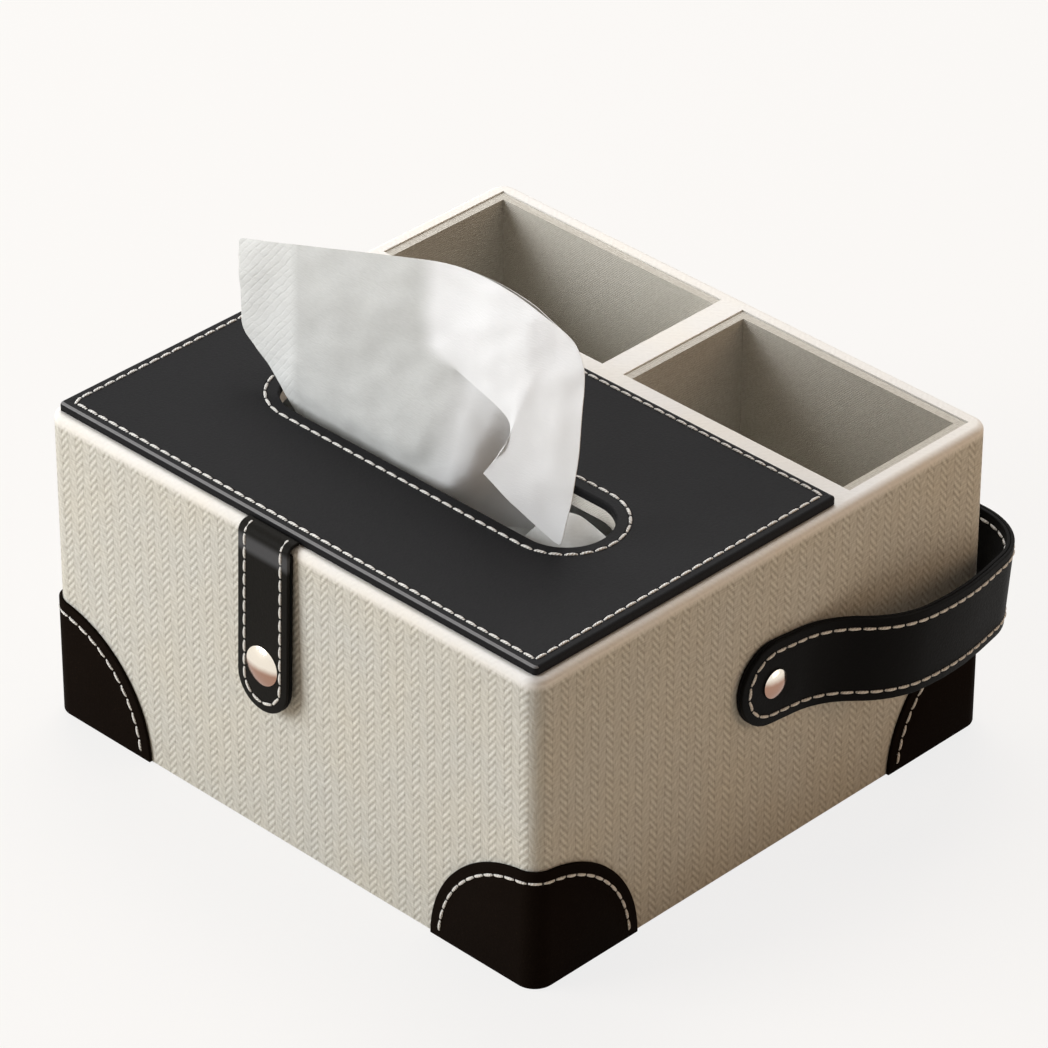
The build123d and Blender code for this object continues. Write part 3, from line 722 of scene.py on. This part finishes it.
tab_face, tab_back = 0.65, -1.95           # the tab's two faces, off the middle of its outer layer
strip = strip_layer(tab_moves, tab_face - 1.27, tab_face, tab_half, 1.6, tip_drop)
finish_strip(strip, "tab_outer_layer", 1.27, tab_place, "tab", "tab_outer", edge=0.45, look=tab_hide)
strip = strip_layer(tab_moves[:1], tab_back, tab_back + 1.27, tab_half, 5.1, tip_drop)
finish_strip(strip, "tab_inner_layer", 1.27, tab_place, "tab", "tab_inner", edge=0.45)
print("the snap is", round(snap_up, 1), "mm below the fold")

# %% [markdown]
# ## Corner guards
# Each bottom corner has a leather guard, a quarter circle on both walls that wraps round the corner in
# one piece. The CAD solid already has that shape, but its edges are knife sharp. A copy is merged, its
# flat triangles are dissolved into clean faces, and its edges get a small bevel, as on pared leather.

# %% Guards
corners = {"front_left": (-1, -1), "front_right": (1, -1), "rear_left": (-1, 1), "rear_right": (1, 1)}
for corner in corners:
    guard = merged_copy("guard_" + corner)
    bpy.ops.mesh.dissolve_limited(angle_limit=math.radians(1.0))
    bpy.ops.object.mode_set(mode="OBJECT")
    round_edges(guard, 0.4, angle=40)
    settle(guard, "leather_guard_" + corner, guard_hide)
    fit(guard, "box", "black_leather", "guard_" + corner)

# %% [markdown]
# ## Thread
# All the leather is sewn with one off-white waxed thread, in stitches 4.5 mm long with 0.4 mm between
# them. Painted dashes would look flat, so each stitch is a small body: a ball drawn out along the seam,
# whose ends dive into the leather. It is modelled once, and copied along a line at equal distances.

# %% Thread finish
thread = new_finish("sewing_thread", Roughness=0.62, Sheen_Weight=0.3, Specular_IOR_Level=0.35)
turns_of_ply = node("UVMap", {}, 0, thread.node_tree, uv_map="UVMap")
around, along = (node("SeparateXYZ", {0: turns_of_ply}, axis) for axis in (0, 1))
ply_wave = ((around + along * 3.0) * (4 * math.pi)).step("SINE")
shade = held(ply_wave * 0.16 + speckle(place_in_mm(thread)[0], 0.8))
use(thread, mix(shade, (0.74, 0.735, 0.71, 1), (0.96, 0.955, 0.93, 1)), ply_wave, 0.12)

# %% One stitch
stitch_long, stitch_wide, stitch_high, stitch_pitch, stitch_lift = 4.5, 1.1, 0.8, 4.9, 0.12
start_clean()
bpy.ops.mesh.primitive_uv_sphere_add(segments=8, ring_count=6, radius=0.5, rotation=(0, math.pi / 2, 0))
stitch = bpy.context.object
bpy.ops.object.transform_apply()
bpy.ops.transform.resize(value=(stitch_long * mm, stitch_wide * mm, stitch_high * mm))
bpy.ops.object.transform_apply()
edit(stitch)
pick(stitch, lambda vert: 0.40 * stitch_long * mm < abs(vert.co.x) < 0.48 * stitch_long * mm)
bpy.ops.transform.resize(value=(1.04, 1.55, 1.55), center_override=(0, 0, 0))
for end in (-1, 1):
    edit(stitch)
    pick(stitch, lambda vert: end * vert.co.x > 0.40 * stitch_long * mm)
    bpy.ops.transform.translate(value=(0, 0, -0.25 * mm))
bpy.ops.object.mode_set(mode="OBJECT")
bpy.ops.object.shade_smooth()
print("a stitch has", len(stitch.data.polygons), "faces")


# %% Sewing a seam
def measure(points):
    """How far along a line each of its points lies."""
    far = [0.0]
    for start, end in zip(points, points[1:]):
        far.append(far[-1] + (end - start).length)
    return far


def find(far, reach):
    """Which stretch of a measured line a distance falls in, and how far along that stretch, from 0 to 1."""
    spot = next((i for i in range(len(far) - 2) if far[i + 1] >= reach), len(far) - 2)
    return spot, (reach - far[spot]) / max(far[spot + 1] - far[spot], 1e-9)


def sew(name, line, body, closed=False):
    """Copies the stitch along a line of (point, direction out of the leather), in mm."""
    if closed:
        line = line + line[:1]
    points, outs = [Vector(point) for point, out in line], [Vector(out) for point, out in line]
    far = measure(points)
    count = max(1, round(far[-1] / stitch_pitch))
    pitch = far[-1] / count
    seam = bmesh.new()
    for number in range(count):
        ends = []
        for part in (0.14, 0.86):
            spot, share = find(far, (number + part) * pitch)
            ends.append(points[spot].lerp(points[spot + 1], share))
        out = outs[spot].lerp(outs[spot + 1], min(1.0, share)).normalized()
        along = (ends[1] - ends[0]).normalized()
        side = out.cross(along).normalized()
        out = along.cross(side)
        place = Matrix((along, side, out)).transposed().to_4x4()
        place.translation = ((ends[0] + ends[1]) / 2 + out * stitch_lift) * mm
        before = len(seam.verts)
        seam.from_mesh(stitch.data)
        seam.verts.ensure_lookup_table()
        bmesh.ops.transform(seam, matrix=place, verts=seam.verts[before:])
    mesh = bpy.data.meshes.new(name)
    seam.to_mesh(mesh)
    seam.free()
    piece = bpy.data.objects.new(name, mesh)
    bpy.context.scene.collection.objects.link(piece)
    dress(piece, thread)
    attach(piece, body)
    print(name, count, "stitches,", round(far[-1]), "mm")


def arc_points(centre, radius, start, end, steps=12):
    """Points on an arc in a plane, angles in degrees."""
    for step in range(steps + 1):
        angle = math.radians(start + (end - start) * step / steps)
        yield centre[0] + radius * math.cos(angle), centre[1] + radius * math.sin(angle)


# %% Lid seams
lid_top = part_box("lid_leather")[1].z / mm
seam_corner = 1.0
edge_line = []
for corner_x, corner_y, start in ((1, 1, 0), (-1, 1, 90), (-1, -1, 180), (1, -1, 270)):
    centre = (corner_x * (edge_seam_x - seam_corner),
              edge_seam_rear - seam_corner if corner_y > 0 else edge_seam_front + seam_corner)
    edge_line += [((px, py, lid_top), (0, 0, 1)) for px, py in
                  arc_points(centre, seam_corner, start, start + 90, 4)]
sew("lid_edge_stitches", edge_line, "lid", closed=True)
slot_line = []
for side, start in ((1, -90), (-1, 90)):
    slot_line += [((px, py, lid_top), (0, 0, 1)) for px, py in
                  arc_points((slot_x + side * slot_seam_reach, slot_y), slot_seam_radius,
                             start, start + 180, 24)]
sew("slot_stitches", slot_line, "lid", closed=True)


# %% Seams of the strap and the tab
strap_seam, tab_seam = strap_half - 3.4, tab_half - 3.2     # from the middle of the strip


def side_line(moves, face, across, start, end, sign=1):
    """A line along a strip, across mm from its middle. face is how far off the strip's line the thread
    lies, and sign is -1 on the inner face."""
    walk, line = strip_walk(moves, face), []
    steps = int((end - start) / 1.5)
    for step in range(steps + 1):
        spot, out = along_walk(walk, start + (end - start) * step / steps)
        line.append(((spot.x, spot.y, across), (sign * out.x, sign * out.y, 0)))
    return line


def round_end(moves, face, across, drop, end):
    """A line up one side of a strip, after it has come down the other side and round the end."""
    side = side_line(moves, face, across, 0.0, end)
    back = [((x, y, -z), out) for (x, y, z), out in reversed(side)]
    turned = [((face, -drop - across * math.sin(math.radians(angle)),
                -across * math.cos(math.radians(angle))), (1, 0, 0)) for angle in range(0, 181, 10)]
    return back[:-1] + turned + side[1:]


def in_place(line, place, mirrored=False):
    """A strip's line taken to the strip's place, in mm, and to the left half where it is mirrored."""
    moved = []
    for point, out in line:
        spot, away = (place @ (Vector(point) * mm)) / mm, place.to_3x3() @ Vector(out)
        if mirrored:
            spot.x, away.x = -spot.x, -away.x
        moved.append((spot, away))
    return moved


outer_arm, inner_arm = (sum(move[4] for move in strip_walk(strap_moves, off)) for off in (2 * layer, 0.0))
for mirrored, side in ((False, "right"), (True, "left")):
    outer = round_end(strap_moves, 2 * layer - 0.03, strap_seam, 0.0, outer_arm - 0.5)
    sew("strap_stitches_" + side, in_place(outer, strap_place, mirrored), "strap")
    for edge, across in (("top", strap_seam), ("bottom", -strap_seam)):
        inner = side_line(strap_moves, 0.03, across, 18.0, inner_arm - 0.5, -1)
        sew("strap_back_stitches_" + edge + "_" + side, in_place(inner, strap_place, mirrored), "strap")
hang = tab_moves[0][0] + fold_radius * fold_turn + knuckle_run
sew("tab_stitches", in_place(round_end(tab_moves, tab_face, tab_seam, tip_drop, hang), tab_place), "tab")
for edge, across in (("right", tab_seam), ("left", -tab_seam)):
    inner = side_line(tab_moves[:1], tab_back, across, 0.0, tab_moves[0][0] - 2.0, -1)
    sew("tab_back_stitches_" + edge, in_place(inner, tab_place), "tab")

# %% Guard seams
guard_seam, guard_face = 41.0, 1.3         # radius of the seam, and the guard's thickness


def guard_line(side_x, side_y):
    """The seam of a guard: up in a quarter circle on one wall, round the corner, and down on the other."""
    half, steps = [], 14
    start, stop = math.asin(3.0 / guard_seam), math.acos(wall_corner / guard_seam)
    for step in range(steps + 1):
        angle = start + (stop - start) * step / steps
        half.append(((wall_x - guard_seam * math.cos(angle), wall_y + guard_face,
                      guard_seam * math.sin(angle)), (0, 1, 0)))
    for px, py in arc_points((wall_x - wall_corner, wall_y - wall_corner), wall_corner + guard_face,
                             90, 45, 4):
        near = wall_x - px
        out = (px - wall_x + wall_corner, py - wall_y + wall_corner, 0)
        half.append(((px, py, math.sqrt(guard_seam ** 2 - max(near, 0.0) ** 2)), out))
    other = [((wall_x - (wall_y - py), wall_y - (wall_x - px), pz), (oy, ox, 0))
             for (px, py, pz), (ox, oy, oz) in reversed(half[:-1])]
    return [((side_x * px, side_y * py, pz), Vector((side_x * ox, side_y * oy, 0)).normalized())
            for (px, py, pz), (ox, oy, oz) in half + other]


for corner, (side_x, side_y) in corners.items():
    sew("guard_stitches_" + corner, guard_line(side_x, side_y), "box")
bpy.data.objects.remove(stitch)

# %% [markdown]
# ## Caps and rivets
# The snap cap on the tab and the strap's two rivets are domed caps on a stem. A cap is a slice of a large
# ball: the ball is cut level, the cut is filled, and the flat back is drawn out into a thin rim and then
# a stem. A small bevel rounds the rim, so that it catches a fine line of light.

# %% Domed caps
def domed_cap(name, radius, rise, lip, stem_radius, stem_long, place, body, solid):
    """A cap with its dome towards x of its place, and its stem back through what it holds."""
    ball = (radius ** 2 + rise ** 2) / (2 * rise)
    start_clean()
    bpy.ops.mesh.primitive_uv_sphere_add(segments=48, ring_count=96, radius=ball * mm,
                                         location=((rise - ball) * mm, 0, 0), rotation=(0, math.pi / 2, 0))
    cap = bpy.context.object
    bpy.ops.object.transform_apply()
    edit(cap, selected=True)
    bpy.ops.mesh.bisect(plane_co=(0, 0, 0), plane_no=(1, 0, 0), clear_inner=True, use_fill=True)
    pick(cap, lambda face: face.normal.x < -0.9, "faces")
    bpy.ops.mesh.extrude_region_move(TRANSFORM_OT_translate={"value": (-lip * mm, 0, 0)})
    bpy.ops.mesh.inset(thickness=(radius - stem_radius) * mm)
    bpy.ops.mesh.extrude_region_move(TRANSFORM_OT_translate={"value": (-stem_long * mm, 0, 0)})
    bpy.ops.object.mode_set(mode="OBJECT")
    outwards(cap)
    round_edges(cap, 0.25, angle=45)
    cap.matrix_world = place
    settle(cap, name, polished, sharp=50)
    fit(cap, body, "polished_cap", solid)


domed_cap("domed_snap_cap", 7.0, 1.7, 0.3, 1.5, 1.25, tab_place @ Matrix.Translation((0.95 * mm, 0, 0)),
          "tab", "snap_cap")
strap_skin = strap_face + 2 * layer        # the strap's outer face
rivet_end = 104.2                          # where the stem ends, inside the wall
for side, way in (("left", -1), ("right", 1)):
    face = Matrix.Translation(Vector((way * (strap_skin + 0.5), 0, rivet_height)) * mm)
    facing = Matrix.Rotation(0 if way > 0 else math.pi, 4, "Z")
    domed_cap("domed_rivet_" + side, 5.2, 1.5, 0.3, 2.0, strap_skin + 0.2 - rivet_end,
              face @ facing, "box", "handle_rivet_" + side)

# %% [markdown]
# ## Tissue paper
# Tissue is soft two-ply paper, nearly white, with a fine crepe: short creases that lie across the sheet.
# Near one edge the plies are pressed together in a quilted band. Light passes into it a little, so it
# gets a touch of subsurface, and no gloss.

# %% Tissue finish
tissue = new_finish("tissue_paper", Roughness=0.93, Sheen_Weight=0.15, Specular_IOR_Level=0.12,
                    Subsurface_Weight=0.12, Subsurface_Radius=(1.0, 1.0, 0.95), Subsurface_Scale=0.002)
where, x, y, z = place_in_mm(tissue)
crepe = speckle(node("CombineXYZ", {0: x * 0.5, 1: y * 0.5, 2: z * 2.6}), 1.0, 4.0)
cloudy = speckle(where, 0.06, 4.0)
band = ramp(cloudy * 1.5 + (z * 0.37 + x), -4.5, -9.5)
quilt = []
for slope, strength in ((-1.43, 1.0), (0.29, 0.6)):
    across = speckle(where, 0.16) * 3.0 + (x * slope + z)
    quilt.append(ramp(across.step("PINGPONG", 1.94), 0.0, 0.9, strength, 0.0))
pressed = quilt[0].step("MAXIMUM", quilt[1]) * (band * speckle(where, 0.3))
tone = band * 0.75 + (cloudy * 0.5 + crepe * 0.4 - pressed * 0.55)
# Painted light and painted shade: where the ply is marked, the paper is painted near white, partly for plies lying over
# each other and partly as painted light on the fold; elsewhere it is painted grey, for one thin ply and as painted
# shade.
shaded_one_ply = mix(held(tone), (0.52, 0.535, 0.53, 1), (0.76, 0.785, 0.785, 1))
doubled_and_lit = ramp(node("Attribute", {}, "Fac", tissue.node_tree, attribute_name="doubled_and_lit"), 0.2, 0.8,
               interpolation_type="SMOOTHSTEP")
use(tissue, mix(doubled_and_lit, shaded_one_ply, (0.90, 0.92, 0.945, 1)), crepe * 0.5 - pressed, 0.16)
print("tissue finish ready")

# %% [markdown]
# ## The pile of tissues
# Under the lid lies the pile. It is made as it is packed: one folded leaf after another, each drawn up
# from the last with a narrow groove between them, so the sides show their layers. Then the whole pile is
# softened, because paper never lies quite flat.

# %% Pile
pile_low, pile_high = (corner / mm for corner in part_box("tissue_stack"))
pile_middle = (pile_low + pile_high) / 2 * mm
leaves = 24
leaf = (pile_high.z - pile_low.z) / leaves * mm
tuck_x, tuck_y = 0.995, 0.990       # how far each groove between two leaves goes in
start_clean()
bpy.ops.mesh.primitive_grid_add(x_subdivisions=20, y_subdivisions=11, size=1.0,
                                location=(pile_middle.x, pile_middle.y, pile_low.z * mm))
pile = bpy.context.object
bpy.ops.transform.resize(value=((pile_high.x - pile_low.x - 1.0) * mm,
                                (pile_high.y - pile_low.y - 1.0) * mm, 1))
bpy.ops.object.transform_apply()
edit(pile, "FACE", selected=True)


def draw_up(height, wider_x, wider_y):
    """Draws the top of the pile up, and makes it wider or narrower about the pile's middle."""
    bpy.ops.mesh.extrude_region_move(TRANSFORM_OT_translate={"value": (0, 0, height)})
    bpy.ops.transform.resize(value=(wider_x, wider_y, 1), center_override=pile_middle)


for number in range(leaves):
    swell = 1.0 + 0.0035 * math.sin(number * 2.4)
    draw_up(leaf / 2, swell, swell)
    if number < leaves - 1:
        draw_up(leaf / 2, tuck_x / swell, tuck_y / swell)
        draw_up(0.02 * mm, 1 / tuck_x, 1 / tuck_y)
    else:
        draw_up(leaf / 2, 1.0, 1.0)
bpy.ops.object.mode_set(mode="OBJECT")
outwards(pile)
round_edges(pile, 0.5, segments=2)
settle(pile, "tissue_pile", tissue, sharp=60)
fit(pile, "box", "tissue_pile", "tissue_stack")
print("the pile has", leaves, "leaves")

# %% [markdown]
# ## The pulled tissue
# One tissue stands up out of the slot. Its two plies lean back together. At the right the front ply folds
# forward over itself: its free corner hangs down in front and dips into the slot's end. Cloth simulation
# would settle it into some other fold each time the box changes, so the folds of this one are placed one
# by one. A few guide lines run across the sheet, from the pile up to its free edge, and the grid's rows are
# laid between them. The front ply has a slit where the fold opens, so its edge can come away.

# %% Guide lines of the front ply
foot = [(-50, -41, 101), (-28, -43, 101), (-8, -44, 101), (11, -42, 101), (25, -33, 101), (34, -28, 101)]
lip = [(-59, -48, 122.3), (-44, -49.3, 122.6), (-30.5, -49.4, 122.6), (-19.5, -49.4, 122.6),
       (-9.5, -49.4, 122.6), (-0.5, -49.4, 122.6), (9.5, -49.3, 122.8), (17, -48.7, 123),
       (23, -46.5, 123.5), (25.5, -41, 123), (27.5, -35.5, 122.5), (31, -30.5, 122), (37, -27.5, 122), (43, -26.5, 122)]
split = [(-80.5, -44.5, 133.3), (-60.5, -44.5, 134.3), (-45.5, -43.7, 136.3), (-32.5, -42.2, 140.3),
         (-19.5, -40.5, 144.3), (-6.5, -38.6, 149.3), (6, -37.1, 154.3)]
lobe = split + [(17.8, -37.1, 152.1), (27.5, -37.4, 150.5), (33, -33, 151), (38, -29.5, 152),
                (44, -28, 153), (49, -27.5, 154), (53, -28, 155)]
flap = split + [(18.9, -39.3, 153.3), (31.5, -41.5, 152.9), (40.3, -43.5, 151.3), (42.1, -46.5, 145.8),
                (35.1, -51, 133.3), (49.5, -50.3, 125.7), (64.5, -47.5, 117.5)]
ridge = [(-91.2, -34.9, 159.1), (-79.5, -33.8, 161.9), (-67.8, -32.6, 165.2), (-49.3, -30.8, 170.1),
         (-32.8, -29.1, 174.8), (-18.4, -27.7, 178.6), (-4.2, -26.3, 182.3), (10.6, -25.7, 183.2),
         (23.2, -25.9, 183), (34.3, -26.6, 181.4), (43, -27.2, 180), (49.9, -27.6, 178.8),
         (54.9, -28.7, 175.7), (58.6, -30.3, 171.5)]


def spread(line, count):
    """The same line with count points at equal distances."""
    points = [Vector(point) for point in line]
    far = measure(points)
    stretches = (find(far, far[-1] * number / (count - 1)) for number in range(count))
    return [points[spot].lerp(points[spot + 1], share) for spot, share in stretches]


def net(low, high, rows, bow=0.0, swell=0.0):
    """Rows laid between two guide lines. The middle rows bow forwards and swell out at the right end."""
    laid = []
    for share in (row / rows for row in range(rows + 1)):
        laid.append([])
        middle = math.sin(math.pi * share)
        for column, (below, above) in enumerate(zip(low, high)):
            point = Vector(below).lerp(Vector(above), share)
            point.y -= bow * middle * column / len(low)
            point.x += swell * middle * (column / len(low)) ** 6
            laid[-1].append(point)
    return laid


# %% Tissue plies
def lay_ply(rows, slit=None, sharp=()):
    """A grid whose rows lie on these points, in mm. slit is (row, column, rows above): from that column
    on, the row is cut, and the part above follows rows of its own. Towards the right and along the top
    the sheet is marked to be painted whiter, partly because it lies over other layers there and partly as
    painted light where the fold faces the lamps. sharp are columns of the cut edge that keep a corner."""
    start_clean()
    bpy.ops.mesh.primitive_grid_add(x_subdivisions=len(rows[0]) - 1, y_subdivisions=len(rows) - 1, size=1.0)
    ply = bpy.context.object
    edit(ply, "EDGE")
    across, up = len(rows[0]) - 1, len(rows) - 1

    def cell(vert):
        return round((vert.co.x + 0.5) * across), round((vert.co.y + 0.5) * up)

    if slit:
        slit_row, slit_column, above = slit
        pick(ply, lambda edge: all(cell(v)[1] == slit_row and cell(v)[0] >= slit_column
                                   for v in edge.verts), "edges")
        bpy.ops.mesh.edge_split(type="EDGE")
    mesh = bmesh.from_edit_mesh(ply.data)
    places = {}
    doubled_and_lit_layer = mesh.verts.layers.float.new("doubled_and_lit")
    corner = mesh.verts.layers.float.new("crease_vert")
    for vert in mesh.verts:
        column, row = cell(vert)
        upper = bool(slit) and column > slit_column and row >= slit_row and any(
            cell(v)[1] > row for face in vert.link_faces for v in face.verts)
        places[vert] = above[row - slit_row][column] if upper else rows[row][column]
        above_slit = upper or row > len(rows) - 6
        # Painted light: the share marked here makes the finish paint the paper whiter, towards the right and along the
        # top rows.
        vert[doubled_and_lit_layer] = max(0.0, min(1.0, column - 4.8) if above_slit else min(0.6, (column - 5) / 3))
        vert[corner] = float(upper and row == slit_row and column in sharp)
    for vert, point in places.items():
        vert.co = Vector(point) * mm
    bmesh.update_edit_mesh(ply.data)
    bpy.ops.object.mode_set(mode="OBJECT")
    return ply


def finish_ply(ply, name, wide, body, slot_name, *solids):
    """Smooths, creases and thickens a ply, and puts it with a body in place of these solids. wide is not used."""
    apply_modifier(ply, "SUBSURF", levels=2, render_levels=2, boundary_smooth="PRESERVE_CORNERS")
    for size, depth in ((0.022, 3.2), (0.010, 1.4)):
        creases = bpy.data.textures.new(name + "_creases", "CLOUDS")
        creases.noise_scale = size
        creases.noise_depth = 2
        apply_modifier(ply, "DISPLACE", texture=creases, texture_coords="LOCAL", strength=depth * mm,
                       mid_level=0.5)
    apply_modifier(ply, "SUBSURF", levels=1, render_levels=1)
    apply_modifier(ply, "SOLIDIFY", thickness=0.3 * mm, offset=0.0)
    settle(ply, name, tissue, sharp=80)
    fit(ply, body, slot_name, *solids)


below = net(spread(foot, 14), lip, 2)[:-1] + net(lip, lobe, 4)
above = net(flap, ridge, 5, 3.5, 9.0)
left_above = net(split, ridge[:7], 5, 0.8)
above = [left + row[7:] for left, row in zip(left_above, above)]
front_ply = lay_ply(below + above[1:], (len(below) - 1, 6, above), (11,))
finish_ply(front_ply, "tissue_front_ply", 0.145, "sheet", "tissue", "tissue_sheet")

slot_back = [(-56, -46, 122.3), (-38, -47.5, 122.3), (-19.5, -47.7, 122.3), (-3.5, -47.5, 122.3),
             (9, -46, 122.5), (18, -41, 122.5), (24, -34, 122), (31, -28.5, 122), (38, -26, 122)]
middle_back = [(-83.5, -37, 149.3), (-65.5, -37.7, 150.3), (-47.5, -37.3, 152.3), (-27.5, -35.8, 154.3),
               (-6, -34.3, 156.3), (13, -32.5, 157), (27, -29, 157), (40, -26, 157), (50, -26, 156)]
top_back = [(-89, -33.1, 158.3), (-72.5, -31.5, 162.3), (-51.5, -29.3, 168), (-29.5, -27.3, 174.1),
            (-7.5, -24.9, 180.3), (14.5, -23.9, 181.9), (31, -24.1, 180.5), (44, -25.1, 177),
            (51, -27.5, 170)]
back_rows = (net(spread(foot, 9), slot_back, 2)[:-1] + net(slot_back, middle_back, 2)[:-1]
             + net(middle_back, top_back, 3))
back_ply = lay_ply([[Vector(point) + Vector((0, 0.9, 0)) for point in row] for row in back_rows])
finish_ply(back_ply, "tissue_back_ply", 0.140, "sheet", "tissue")

# %% [markdown]
# ## The next tissue
# The top leaf of the pile already bulges up towards the slot, as it was dragged along by the one before
# it. It is a hump of paper, seen at the slot's right end, whose edges run out onto the pile. One line
# gives its height along the slot, and a second one says how far it falls off to each side.

# %% Hump of the next tissue
hump_line = [(80, 0.0), (74, 9.0), (69, 19.5), (62, 25.0), (53, 26.0), (45, 20.0), (39, 8.0), (34, 0.0)]
hump_side = [(-21, 0.0), (-15, 0.42), (-8, 0.90), (1, 1.0), (9, 0.94), (15, 0.50), (22, 0.0)]
hump_rows = [[(x, slot_y + y, pile_high.z - 0.2 + height * share) for y, share in hump_side]
             for x, height in hump_line]
finish_ply(lay_ply(hump_rows), "next_tissue_hump", 0.060, "box", "tissue_pile")
